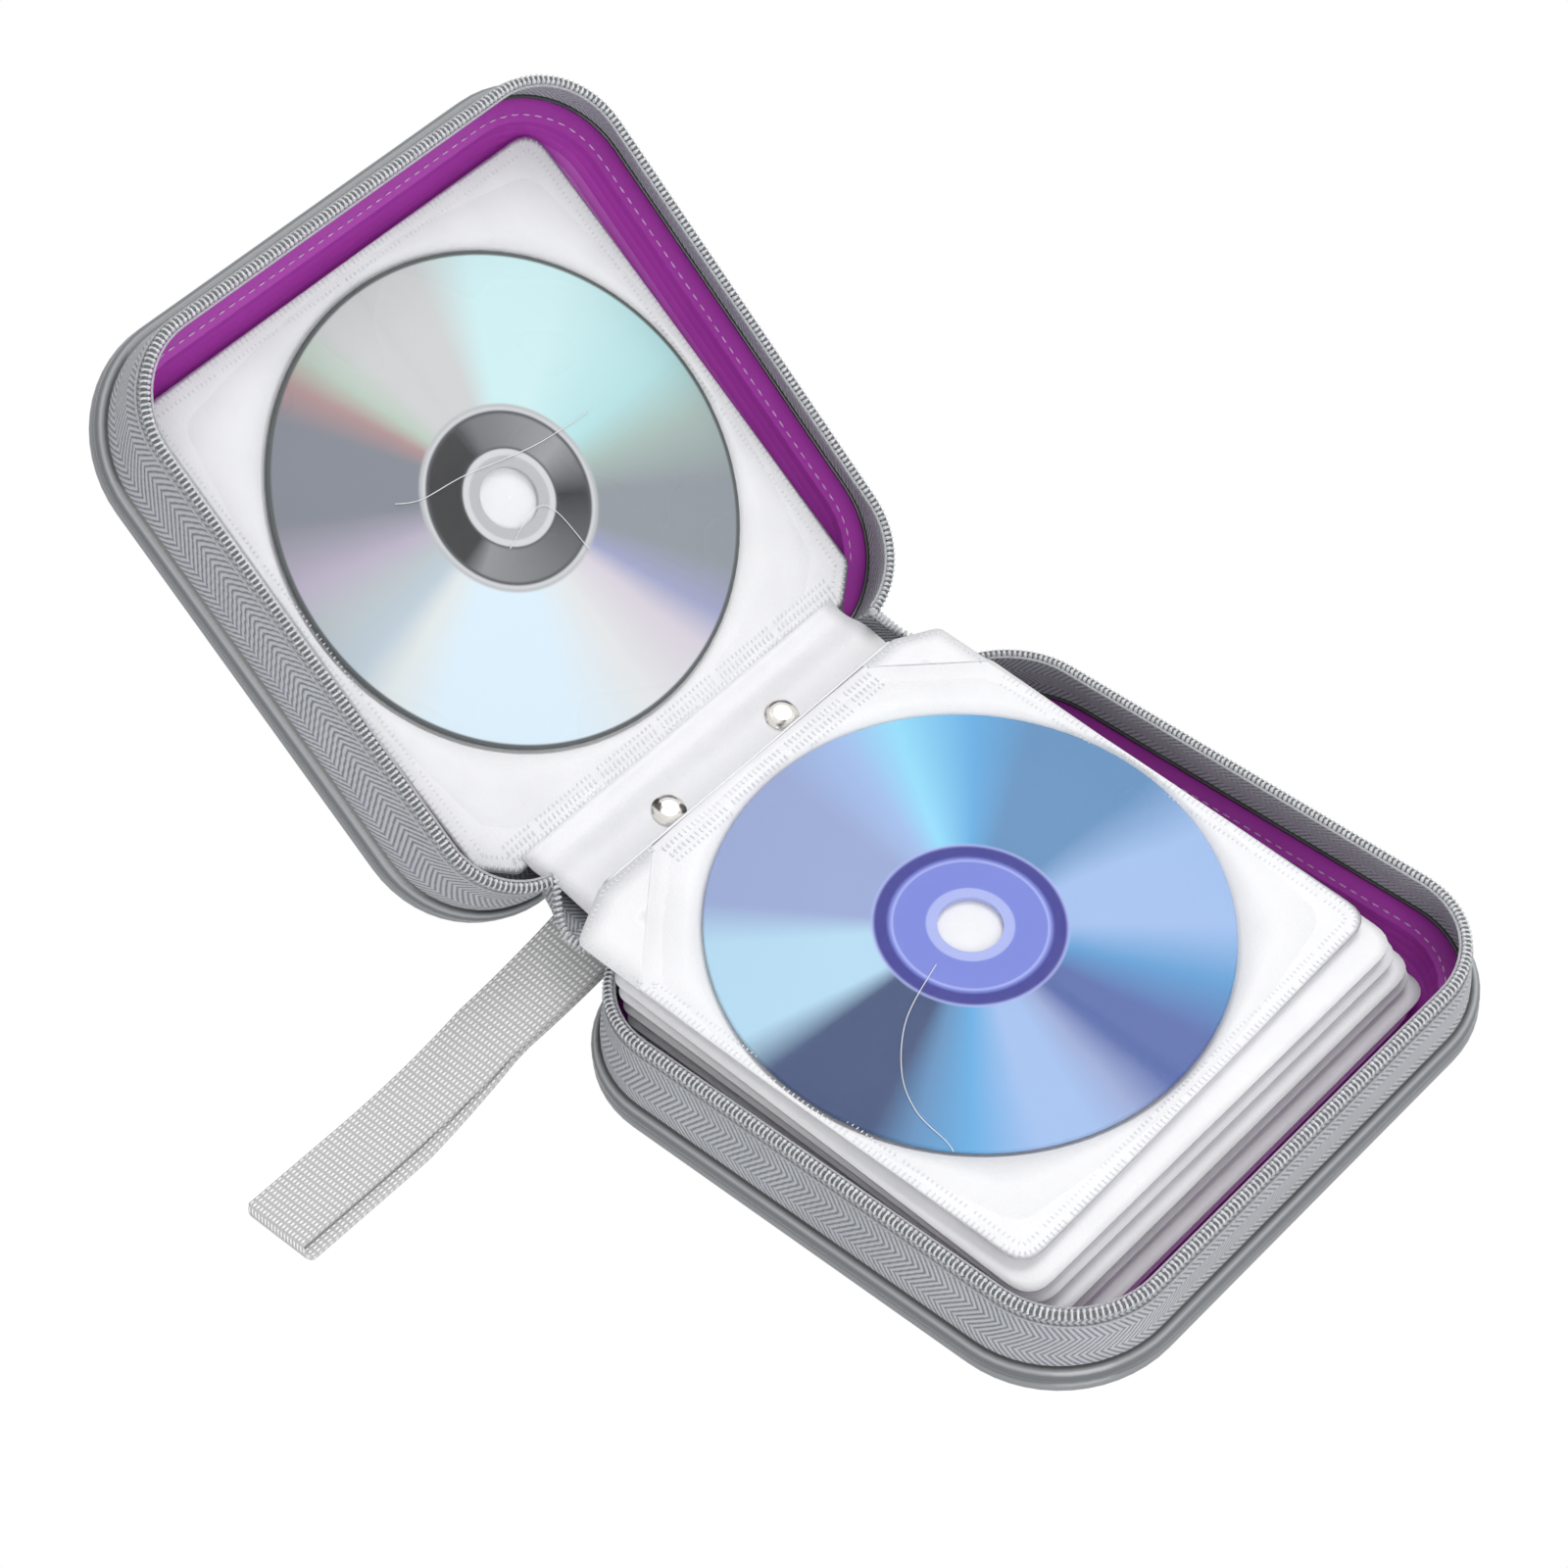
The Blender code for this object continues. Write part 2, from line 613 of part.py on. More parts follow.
def build_spine():
    """The cloth between the hinge lines, the binding on it and the rivets through both."""
    radius = CLOTH_THICKNESS / 2
    outline = []
    for centre, start in ((0.0, -90), (-SPINE_SPAN, 90)):
        for step in range(7):
            angle = math.radians(start + 30 * step)
            outline.append((centre + radius * math.cos(angle), radius * math.sin(angle)))
    mesh = mesh_of("spine_cloth", flat_curve("spine_cloth", [outline], CLOTH_WIDTH))
    mesh.materials.clear()
    cloth = make_piece("spine_cloth", mesh, spine_hinge, "grey_cloth")
    cloth.rotation_euler = (math.pi / 2, 0.0, 0.0)

    size = (BINDING_WIDTH, BINDING_LENGTH, BINDING_THICKNESS)
    binding = make_piece(
        "sleeve_binding", block_mesh("sleeve_binding", size, BINDING_ROUNDING), spine_hinge,
        "white_film", (
            BINDING_WIDTH / 2 - SPINE_SPAN - BINDING_OVERHANG,
            BINDING_SHIFT,
            BINDING_BASE + BINDING_THICKNESS / 2,
        ),
    )

    washer_top = -CLOTH_THICKNESS / 2 - GAP
    head_base = BINDING_TOP + GAP
    dome_base = head_base + RIVET_BRIM_HEIGHT
    dome_height = RIVET_HEAD_HEIGHT - RIVET_BRIM_HEIGHT
    profile = []
    for step in range(7):
        angle = math.radians(15 * step)
        profile.append((
            RIVET_HEAD_RADIUS * math.sin(angle), dome_base + dome_height * math.cos(angle)
        ))
    profile += [
        (RIVET_HEAD_RADIUS, head_base),
        (RIVET_POST_RADIUS, head_base),
        (RIVET_POST_RADIUS, washer_top),
        (RIVET_WASHER_RADIUS, washer_top),
        (RIVET_WASHER_RADIUS, washer_top - RIVET_WASHER_THICKNESS),
        (0.0, washer_top - RIVET_WASHER_THICKNESS),
    ]
    for end, along in (("near", -1), ("far", 1)):
        place = (RIVET_FROM_FRONT_HINGE - SPINE_SPAN, along * RIVET_SPACING / 2, 0.0)
        rivet = turned("rivet_" + end, profile, RIVET_SEGMENTS, spine_hinge, "nickel", place, closed=False)
        shade_round(rivet, 40)
        name = "rivet_hole_" + end
        mesh = cylinder_mesh(name, RIVET_POST_RADIUS + GAP, 6 * BINDING_THICKNESS)
        hole = make_cutter(name, mesh, spine_hinge, place)
        combine(cloth, hole, "DIFFERENCE")
        combine(binding, hole, "DIFFERENCE")


def build_slider():
    """The zip slider at the far end of the spine, and the pull that hangs on its bridge."""
    length = SLIDER_SIZE[1]
    height = SLIDER_SIZE[2]
    place = (-SPINE_SPAN / 2, CLOTH_WIDTH / 2 + GAP + length / 2, SLIDER_TOP - height / 2)
    slider = make_piece(
        "zip_slider", block_mesh("zip_slider", SLIDER_SIZE, SLIDER_ROUNDING), spine_hinge,
        "nickel", place,
    )
    foot = -height / 2 + BRIDGE_WIRE_RADIUS
    low = -height / 2 - BRIDGE_DROP
    reach = BRIDGE_REACH
    points = [
        (0.0, -reach, foot), (0.0, -reach, low + BRIDGE_WIRE_RADIUS),
        (0.0, -reach + BRIDGE_WIRE_RADIUS, low), (0.0, reach - BRIDGE_WIRE_RADIUS, low),
        (0.0, reach, low + BRIDGE_WIRE_RADIUS), (0.0, reach, foot),
    ]
    arch = mesh_of("slider_bridge", wire_curve("slider_bridge", points, BRIDGE_WIRE_RADIUS))
    combine(slider, make_cutter("slider_bridge", arch, spine_hinge, place), "UNION")

    pull_hinge = make_frame("pull_hinge", spine_hinge, (
        place[0], place[1], place[2] + low + BRIDGE_WIRE_RADIUS + GAP + PULL_BAR / 2
    ))
    half = PULL_WIDTH / 2
    hole_half = PULL_HOLE_WIDTH / 2
    top = PULL_BAR / 2
    hole_low = -PULL_BAR / 2 - PULL_HOLE_LENGTH
    outline = [
        (-half, top), (half, top), (half, -PULL_LENGTH * PULL_TAPER),
        (half * PULL_TAPER, -PULL_LENGTH), (-half * PULL_TAPER, -PULL_LENGTH),
        (-half, -PULL_LENGTH * PULL_TAPER),
    ]
    hole = [(-hole_half, -top), (hole_half, -top), (hole_half, hole_low), (-hole_half, hole_low)]
    curve = flat_curve("zip_pull", [outline, hole], PULL_THICKNESS)
    pull = make_piece("zip_pull", curve, pull_hinge, "nickel")
    pull.rotation_euler = (math.pi / 2, 0.0, 0.0)


def build_strap():
    """The wrist loop: it leaves the spine level with it, and turns flat as it drops."""
    separation = STRAP_THICKNESS + STRAP_PLY_GAP
    root = HINGE_HEIGHT - (CLOTH_THICKNESS / 2 + GAP + STRAP_THICKNESS / 2) / math.cos(SPINE_TILT)
    floor = STRAP_FLOOR_GAP + STRAP_THICKNESS / 2 + separation - RIM_PLANE_HEIGHT
    stations = []
    for step in range(STRAP_STEPS + 1):
        share = step / STRAP_STEPS
        drop = 1 - (1 - share) ** STRAP_DROP_POWER
        stations.append((
            STRAP_ROOT_X + (STRAP_END_X - STRAP_ROOT_X) * min(2 * share, 1.0),
            STRAP_ROOT_Y + (STRAP_TOUCHDOWN_Y - STRAP_ROOT_Y) * share,
            root + (floor - root) * drop,
            math.tan(SPINE_TILT) * (1 - drop),
        ))
    stations.append((STRAP_END_X, STRAP_END_Y + separation, floor, 0.0))

    def ply(across, below):
        return [
            (x + across, y, z - below - (x + across) * tilt) for x, y, z, tilt in stations
        ]

    rows = []
    for across in (-STRAP_WIDTH / 2, STRAP_WIDTH / 2):
        upper = ply(across, 0.0)
        lower = ply(across, separation)
        end = []
        root_fold = []
        for step in range(1, 6):
            angle = math.radians(30 * step)
            out = separation / 2 * math.sin(angle)
            down = separation / 2 * (1 - math.cos(angle))
            end.append((upper[-1][0], upper[-1][1] - out, upper[-1][2] - down))
            root_fold.append((lower[0][0], lower[0][1] + out, lower[0][2] + down))
        rows.append(upper + end + lower[::-1] + root_fold)
    mesh = grid_mesh("wrist_strap", rows, ring=True)
    strap = make_piece("wrist_strap", mesh, back_frame, "webbing")
    thicken(strap, STRAP_THICKNESS, 0.0)
    shade_round(strap, 60)


clear_scene()
parts = new_collection("disc_wallet")
cutters = new_collection("cutters")
materials = {
    "purple_shell": make_material("purple_shell", (0.30, 0.035, 0.30), 0.38),
    "rim_grey": make_material("rim_grey", (0.27, 0.28, 0.29), 0.40),
    "zip_tape": make_material("zip_tape", (0.38, 0.39, 0.41), 0.85),
    "zip_coil": make_material("zip_coil", (0.42, 0.43, 0.44), 0.45),
    "grey_cloth": make_material("grey_cloth", (0.36, 0.37, 0.39), 0.85),
    "white_film": make_material("white_film", (0.86, 0.86, 0.88), 0.55),
    "clear_film": make_material("clear_film", (0.92, 0.92, 0.94), 0.20),
    "silver_disc": make_material("silver_disc", (0.62, 0.64, 0.63), 0.18, 0.8),
    "blue_disc": make_material("blue_disc", (0.12, 0.32, 0.68), 0.18, 0.6),
    "nickel": make_material("nickel", (0.66, 0.65, 0.62), 0.22, 1.0),
    "webbing": make_material("webbing", (0.62, 0.62, 0.62), 0.80),
}

back_frame = make_frame("back_frame", None, (-HALF_LENGTH, 0.0, RIM_PLANE_HEIGHT))
spine_hinge = make_frame("spine_hinge", back_frame, (0.0, 0.0, HINGE_HEIGHT), SPINE_TILT)
front_hinge = make_frame(
    "front_hinge", spine_hinge, (-SPINE_SPAN, 0.0, 0.0), COVER_LIFT - SPINE_TILT
)

for cover, direction, carrier, offset, coil_lean in (
    ("back", 1, back_frame, 0.0, BACK_COIL_LEAN),
    ("front", -1, front_hinge, -HINGE_HEIGHT, FRONT_COIL_LEAN),
):
    build_shell(cover, direction, carrier, offset)
    build_rim(cover, direction, carrier, offset)
    build_zip(cover, direction, carrier, offset, coil_lean)
    build_hinge_cloth(cover, direction, carrier, offset)

build_spine()
build_back_sleeves()
build_front_sleeves()
build_slider()
build_strap()
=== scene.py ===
"""Looks of the zipped disc wallet: cloth, coils, film sleeves, discs, stitching and webbing."""
import json
import math

import bmesh
import bpy
from mathutils import Matrix, Vector


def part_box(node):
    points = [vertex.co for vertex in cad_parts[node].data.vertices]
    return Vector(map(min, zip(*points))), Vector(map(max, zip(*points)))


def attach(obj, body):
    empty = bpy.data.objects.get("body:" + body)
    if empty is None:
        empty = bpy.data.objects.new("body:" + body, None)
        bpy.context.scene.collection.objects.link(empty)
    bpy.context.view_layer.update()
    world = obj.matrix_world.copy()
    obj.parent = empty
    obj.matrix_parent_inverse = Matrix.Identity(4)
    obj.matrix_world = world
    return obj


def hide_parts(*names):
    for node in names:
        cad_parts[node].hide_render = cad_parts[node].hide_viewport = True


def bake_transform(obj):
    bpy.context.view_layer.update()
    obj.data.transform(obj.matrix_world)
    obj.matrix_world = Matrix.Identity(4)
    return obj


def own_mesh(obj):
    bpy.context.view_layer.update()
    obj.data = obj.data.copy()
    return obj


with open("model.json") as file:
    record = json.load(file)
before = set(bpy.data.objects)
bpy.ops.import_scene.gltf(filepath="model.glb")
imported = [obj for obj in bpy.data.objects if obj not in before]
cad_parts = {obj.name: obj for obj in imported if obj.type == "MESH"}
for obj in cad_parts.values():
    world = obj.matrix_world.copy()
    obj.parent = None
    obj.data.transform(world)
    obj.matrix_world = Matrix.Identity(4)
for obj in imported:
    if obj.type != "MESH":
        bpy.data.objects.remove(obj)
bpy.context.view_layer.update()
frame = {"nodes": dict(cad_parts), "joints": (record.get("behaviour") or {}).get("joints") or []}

# Sizes of the case, in metres, as in the solids
COVER_LENGTH = 0.1590
COVER_WIDTH = 0.1606
HALF_WIDTH = COVER_WIDTH / 2
CORNER_RADIUS = 0.0300
RIM_PLANE_HEIGHT = 0.0080
HINGE_HEIGHT = 0.0110
COVER_LIFT = math.radians(45.8)
FLANGE_TOP = 0.0020
CLOTH_WIDTH = 0.0990
BINDING_TOP = 0.0039
DISC_RADIUS = 0.0600

# Rims: each bead's middle and half height over the rim plane, its bend in degrees, its skin
RIM_THICKNESS = 0.0036
RIM_UPPER_BEAD = (0.0012, 0.0021)
RIM_LOWER_BEAD = (-0.0018, 0.0015)
RIM_BEAD_SWEEP = 165
RIM_STEPS = 12
RIM_SKIN = 0.0005

# Zips: the coil's line round a cover, its teeth, the two cords beside it, and the tape wall
COIL_HEIGHT = 0.01908
COIL_INSET_SPINE = 0.0045
COIL_INSET_OUTER = 0.0026
COIL_LEAN = {"back": 0.0062, "front": 0.0082}
COIL_CORE_RADIUS = 0.00088
ZIP_START_ANGLE = math.radians(12)
TOOTH_PITCH = 0.0013
TOOTH_BAR = (0.00090, 0.0026, 0.0021)
TOOTH_HEAD = (0.00110, 0.0015, 0.0025)
TOOTH_HEAD_PLACE = (0.0, 0.0006, 0.0001)
CORD_RADIUS = 0.00032
CORD_DROPS_AND_SHIFTS = {"outer": (0.0026, 0.0011), "inner": (-0.0004, -0.0016)}
TAPE_BASE_INSET = 0.00435
TAPE_FOOT_INSET = 0.0024
TAPE_BELLY = 0.0005
TAPE_THICKNESS = 0.0008
TAPE_LEVELS = 10
# Where a zip crosses the spine's ends: reach, height and foot, and how it sags and puffs out
ZIP_END_REACH = 0.0600
ZIP_END_HEIGHT = 0.0030
ZIP_END_FOOT = 0.0045
ZIP_END_SAG = 0.0040
ZIP_END_LEAN = 0.0016
ZIP_END_PUFF = 0.0030
ZIP_END_STEPS = 8
ZIP_END_LEVELS = 4

# Seam on the flange, and the hinge cloth's tail: place out from the spine, height, half width
STITCH_INSET = 0.0072
STITCH_PITCH = 0.0031
STITCH_SIZE = (0.0022, 0.00045, 0.00036)
STITCH_LIFT = 0.00012
STITCH_START = 0.3
LINING_PROFILE = (
    (0.0010, 0.0085, 0.0485), (0.0026, 0.0046, 0.0490), (0.0062, 0.0027, 0.0570),
    (0.0105, 0.0024, 0.0600), (0.0150, 0.0022, 0.0600),
)
LINING_THICKNESS = 0.0006

# Welds: dashes and finer dots along the film's edges, in groups with a gap after each
WELD_DASH = (0.00042, 0.0016, 0.00022)
WELD_DOT = (0.00036, 0.0010, 0.00016)
SPINE_DASH = (0.00042, 0.0017, 0.0002)
WELD_PITCH = 0.00135
DOT_PITCH = 0.0013
WELD_GROUP = 15
WELD_SINK = 0.00008
EDGE_WELDS = ((0.0011, "dash", WELD_PITCH), (0.0037, "dot", DOT_PITCH))
INNER_WELDS = ((0.0030, "dash"), (0.0054, "dash"), (0.0074, "dot"))
INNER_WELD_REACH = {"back": (0.0320, 0.0380), "front": (0.0550, 0.0550)}

# Films: how the window hazes what lies under it, and the open page's heights, with the disc's
# top at zero
FILM_GAIN = 1.05
FILM_HAZE = 0.06
PAGE_SEAT = -0.00165
PAGE_BACK = -0.0021
PAGE_WAVE = 0.00022
SEAT_RADIUS = DISC_RADIUS + 0.0006
SEAT_RIM = DISC_RADIUS + 0.0012
WINDOW_LIFT = 0.00022
WINDOW_THICKNESS = 0.00012
SLIT_EDGE_LIFT = 0.00030
SLIT_EDGE_RADIUS = 0.00011
FLAP_THICKNESS = 0.0006
ROOT_THICKNESS = 0.0003
TOP_ROOT_THICKNESS = 0.0004
MERGE_DISTANCE = 0.00002

# The two pockets: disc centre over its cover's rim plane, and the sleeve's slope
POCKETS = {
    "back": ((0.0654, -0.0046, 0.02515), math.radians(7.28)),
    "front": ((-0.0785, 0.0, 0.00324), math.radians(-3.79)),
}
# Corners of the two open pages: distance out from the spine, place along it, rounding
BACK_PAGE = (
    (-0.0012, -0.0378, 0.0004), (0.0236, -0.0684, 0.0004), (0.1316, -0.0640, 0.0065),
    (0.1290, 0.0596, 0.0065), (0.0185, 0.0560, 0.0004), (-0.0012, 0.0345, 0.0004),
)
FRONT_PAGE = (
    (0.0090, -0.0560, 0.0030), (0.0160, -0.0640, 0.0030), (0.1448, -0.0640, 0.0065),
    (0.1448, 0.0640, 0.0065), (0.0160, 0.0640, 0.0030), (0.0090, 0.0560, 0.0030),
)
# The back page's corners by the spine: distance out from the spine, place along it, rounding
CORNER_FLAPS = {
    "near": (
        (-0.0012, -0.0372, 0.0003), (-0.0012, -0.0549, 0.0030), (0.0055, -0.0687, 0.0030),
        (0.0241, -0.06835, 0.0003),
    ),
    "far": (
        (0.0190, 0.0560, 0.0003), (0.0043, 0.0555, 0.0030), (-0.0012, 0.0450, 0.0030),
        (-0.0012, 0.0339, 0.0003),
    ),
}
CHAMFER_END = 0.0245
# Curved edges of the windows' slits, from the disc's centre
SLIT_EDGES = {
    "back": (
        ((0.0017, -0.0137), (0.0065, -0.0291), (0.0151, -0.0405), (0.0241, -0.0459),
         (0.0337, -0.0472), (0.0367, -0.0481)),
    ),
    "front": (
        ((-0.0150, -0.0250), (-0.0121, -0.0187), (-0.0104, -0.0058), (-0.0061, 0.0134),
         (-0.0047, 0.0304)),
        ((0.0094, -0.0080), (0.0057, 0.0033), (0.0090, 0.0075), (0.0208, 0.0086)),
    ),
}

# Filled sleeves: how far each one's outer edge sticks out, and a sleeve's section as the share
# of its outline and the drop from its top, from the middle out and back under
SLEEVE_SPREAD = (0.0, 0.0026, 0.0012, 0.0028, 0.0016, 0.0022)
SLEEVE_DEPTH = 0.0026
SLEEVE_PROFILE = (
    (0.30, 0.0), (0.62, 0.0), (0.80, -0.00003), (0.88, -0.00025), (0.935, -0.0007),
    (0.97, -0.00105), (1.0, -0.00115), (1.0, -0.00155), (0.97, -0.0017),
    (0.935, -0.00205), (0.88, -0.0024), (0.80, -SLEEVE_DEPTH), (0.30, -SLEEVE_DEPTH),
)
SLEEVE_TAPER = (0.0060, 0.0140)
SLEEVE_CORNER = 0.0070
LOWEST_SLEEVE_CORNER = 0.0125
TIP_CORNER = 0.0040
SLEEVE_END_BAND = 0.0020
SLEEVE_INSET = 0.0002
# The first sleeve whose margin shows on its way to the binding
FIRST_ROOT = 2

# Wrist loop, over the back cover's rim plane, with its webbing's knots
STRAP_WIDTH = 0.0178
STRAP_SEPARATION = 0.0020
STRAP_THICKNESS = 0.0011
STRAP_ROOT_X = -0.0097
STRAP_END_X = -0.0144
STRAP_ROOT_Y = -0.0420
STRAP_TOUCHDOWN_Y = -0.1240
STRAP_END_Y = -0.1500
STRAP_ROOT_Z = 0.00944
STRAP_FLOOR_Z = -0.0051
STRAP_TOUCHDOWN_SHARE = 0.78125
STRAP_DROP_POWER = 2.2
STRAP_PLY_SHIFT = 0.0030
STRAP_SHIFT_START = 0.35
STRAP_STEPS = 60
STRAP_FOLD_STEPS = 8
STRAP_ACROSS = (-1.0, -0.94, -0.5, 0.0, 0.5, 0.94, 1.0)
WEB_ROW_PITCH = 0.00170
WEB_KNOT_PITCH = 0.00105

# The photograph's camera, solved from the discs and both covers, and the studio
CAMERA_PLACE = (0.40642, -0.45710, 0.76415)
CAMERA_AIM = (-0.487677, 0.463064, -0.740096)
CAMERA_RIGHT = (0.736711, 0.673146, -0.064272)
CAMERA_LENS = 97.945
SKY_LIGHT = 0.57
FLOOR_REACH = 3.0
FLOOR_DROP = 0.0003
LAMP_SIZE = 0.8
LAMP_POWER = 7.5
LAMPS = {
    "key": ((-0.1, 0.6, 1.25), (-0.05, 0.0, 0.0)),
    "fill": ((0.9, -0.6, 0.8), (0.0, 0.0, 0.03)),
}
RIM_GREY = (0.22, 0.23, 0.24)
WHITE = (1.0, 1.0, 1.0)
BLACK = (0.0, 0.0, 0.0)
UP = Vector((0.0, 0.0, 1.0))

# Places of the moving parts, from the frame's joints
hinges = {joint["name"]: Vector(joint["pos_m"]) for joint in frame["joints"]}
spine_line = hinges["spine_hinge"] - hinges["front_hinge"]
SPINE_TILT = math.atan2(-spine_line.z, spine_line.x)
SPINE_SPAN = spine_line.length
to_back = Matrix.Translation((-COVER_LENGTH / 2, 0.0, RIM_PLANE_HEIGHT))
to_spine = Matrix.Translation(hinges["spine_hinge"]) @ Matrix.Rotation(SPINE_TILT, 4, "Y")
to_front = (
    Matrix.Translation(hinges["front_hinge"])
    @ Matrix.Rotation(COVER_LIFT, 4, "Y")
    @ Matrix.Translation((0.0, 0.0, -HINGE_HEIGHT))
)
COVERS = {"back": (1, to_back), "front": (-1, to_front)}


# Materials


class Shader:
    """A Principled material with short calls for its nodes."""

    def __init__(self, name, colour=(0.8, 0.8, 0.8), roughness=0.5, **values):
        self.material = bpy.data.materials.new(name)
        self.material.use_nodes = True
        self.tree = self.material.node_tree
        self.base = self.tree.nodes["Principled BSDF"]
        self.set(self.base, "Base Color", (*colour, 1.0))
        self.set(self.base, "Roughness", roughness)
        for key, value in values.items():
            self.set(self.base, key.replace("_", " "), value)

    @staticmethod
    def set(node, socket, value):
        node.inputs[socket].default_value = value

    def node(self, kind, **settings):
        made = self.tree.nodes.new("ShaderNode" + kind)
        for key, value in settings.items():
            setattr(made, key, value)
        return made

    def link(self, source, target):
        self.tree.links.new(source, target)

    def math(self, operation, *values):
        made = self.node("Math", operation=operation)
        for socket, value in zip(made.inputs, values):
            if isinstance(value, (int, float)):
                socket.default_value = value
            else:
                self.link(value, socket)
        return made.outputs[0]

    def coordinates(self, kind="Object"):
        return self.node("TexCoord").outputs[kind]

    def split(self, vector):
        parted = self.node("SeparateXYZ")
        self.link(vector, parted.inputs[0])
        return parted.outputs

    def noise(self, scale, detail, roughness=0.5):
        made = self.node("TexNoise")
        self.set(made, "Scale", scale)
        self.set(made, "Detail", detail)
        self.set(made, "Roughness", roughness)
        self.link(self.coordinates(), made.inputs["Vector"])
        return made.outputs["Fac"]

    def ramp(self, factor, stops):
        made = self.node("ValToRGB")
        elements = made.color_ramp.elements
        while len(elements) < len(stops):
            elements.new(0.5)
        for element, (place, colour) in zip(elements, stops):
            element.position = place
            element.color = (*colour, 1.0)
        self.link(factor, made.inputs[0])
        return made.outputs[0]

    def mix(self, factor, first, second):
        made = self.node("Mix", data_type="RGBA")
        for socket, value in ((0, factor), (6, first), (7, second)):
            if isinstance(value, tuple):
                made.inputs[socket].default_value = (*value, 1.0)
            else:
                self.link(value, made.inputs[socket])
        return made.outputs[2]

    def colour(self, output):
        self.link(output, self.base.inputs["Base Color"])
        return self

    def rough(self, output, low, high):
        made = self.node("MapRange")
        self.set(made, "To Min", low)
        self.set(made, "To Max", high)
        self.link(output, made.inputs[0])
        self.link(made.outputs[0], self.base.inputs["Roughness"])
        return self

    def bump(self, output, distance, strength=1.0):
        made = self.node("Bump")
        self.set(made, "Strength", strength)
        self.set(made, "Distance", distance)
        self.link(output, made.inputs["Height"])
        if self.base.inputs["Normal"].is_linked:
            before = self.base.inputs["Normal"].links[0].from_socket
            self.link(before, made.inputs["Normal"])
        self.link(made.outputs["Normal"], self.base.inputs["Normal"])
        return self


def twill_shader(name, light, dark, rib, band):
    """Herringbone twill: slanted ribs that turn over at each band, from UV in metres."""
    shader = Shader(name, light, 0.8, Sheen_Weight=0.25)
    u, v, _ = shader.split(shader.coordinates("UV"))
    slanted = shader.math("ADD", u, shader.math("PINGPONG", v, band))
    ribs = shader.math("SINE", shader.math("MULTIPLY", slanted, 2 * math.pi / rib))
    height = shader.math("MULTIPLY_ADD", ribs, 0.5, 0.5)
    yarn = shader.math("SINE", shader.math("MULTIPLY", v, 2 * math.pi / (rib * 0.4)))
    weave = shader.math("MULTIPLY_ADD", yarn, 0.1, height)
    fuzz = shader.noise(900.0, 3.0)
    shade = shader.math("MULTIPLY_ADD", fuzz, 0.5, weave)
    tone = shader.ramp(shade, ((0.15, dark), (0.95, light)))
    patches = shader.noise(40.0, 2.0)
    shader.colour(shader.mix(shader.math("MULTIPLY", patches, 0.35), tone, dark))
    shader.rough(fuzz, 0.7, 0.95)
    return shader.bump(weave, 0.00025, 0.8).material


def film_shader(name, colour, alpha=1.0, roughness=0.42, emboss=0.7):
    """Soft film: a fine embossed grain and a low, uneven sheen."""
    shader = Shader(name, colour, 0.45, Specular_IOR_Level=0.45, Alpha=alpha)
    grains = shader.noise(1400.0, 2.0, 0.6)
    clouds = shader.noise(60.0, 3.0, 0.55)
    cloudy = shader.ramp(clouds, ((0.3, tuple(0.93 * c for c in colour)), (0.7, colour)))
    shader.colour(shader.mix(shader.math("MULTIPLY", grains, 0.16), cloudy, (0.66, 0.67, 0.69)))
    shader.rough(clouds, roughness * 0.75, roughness * 1.35)
    shader.bump(clouds, 0.0006, 0.35)
    return shader.bump(grains, 0.00012, emboss).material


def weld_shader():
    """The pressed dashes of a weld, greyer and glossier than the film round them."""
    shader = Shader("weld_dashes", (0.55, 0.56, 0.59), 0.3)
    grain = shader.noise(2000.0, 2.0)
    shader.colour(shader.ramp(grain, ((0.3, (0.62, 0.63, 0.66)), (0.7, (0.80, 0.81, 0.84)))))
    return shader.bump(grain, 0.00008, 0.5).material


def metal_shader(name, colour, roughness):
    """Polished metal, with dark reflections of the room painted into its colour in patches."""
    shader = Shader(name, colour, roughness, Metallic=1.0)
    wear = shader.noise(350.0, 4.0, 0.6)
    painted_reflection_mask = shader.noise(260.0, 1.0)
    # Painted reflection: noise patches lay a dark tone over the metal's colour, in place of dark
    # things mirrored in it.
    shade = tuple(0.16 * value for value in colour)
    shader.colour(shader.ramp(painted_reflection_mask, ((0.40, shade), (0.47, colour), (1.0, colour))))
    shader.rough(wear, roughness * 0.7, roughness * 1.7)
    return shader.bump(wear, 0.00004, 0.4).material


def vinyl_shader():
    """The purple lining: smooth vinyl with a faint grain."""
    shader = Shader("purple_vinyl", (0.44, 0.05, 0.44), 0.40, Coat_Weight=0.08)
    grain = shader.noise(1500.0, 2.0, 0.6)
    cloud = shader.noise(45.0, 2.0)
    shader.colour(shader.ramp(cloud, ((0.3, (0.44, 0.049, 0.44)), (0.7, (0.47, 0.055, 0.47)))))
    shader.rough(cloud, 0.36, 0.5)
    return shader.bump(grain, 0.00006, 0.5).material


def rim_shader(name, stops, length):
    """Moulded edge strip: a tone for each part of its bead's bend, from UV in metres; the stops
    paint highlight and shade across the bend.
    """
    shader = Shader(name, (0.21, 0.22, 0.23), 0.3, Coat_Weight=0.3)
    across = shader.split(shader.coordinates("UV"))[1]
    tone = shader.ramp(shader.math("DIVIDE", across, length), stops)
    streak = shader.noise(70.0, 2.0)
    grain = shader.noise(900.0, 3.0)
    shader.colour(shader.mix(shader.math("MULTIPLY", streak, 0.3), tone, (0.16, 0.17, 0.18)))
    shader.rough(grain, 0.22, 0.42)
    return shader.bump(grain, 0.00005, 0.4).material


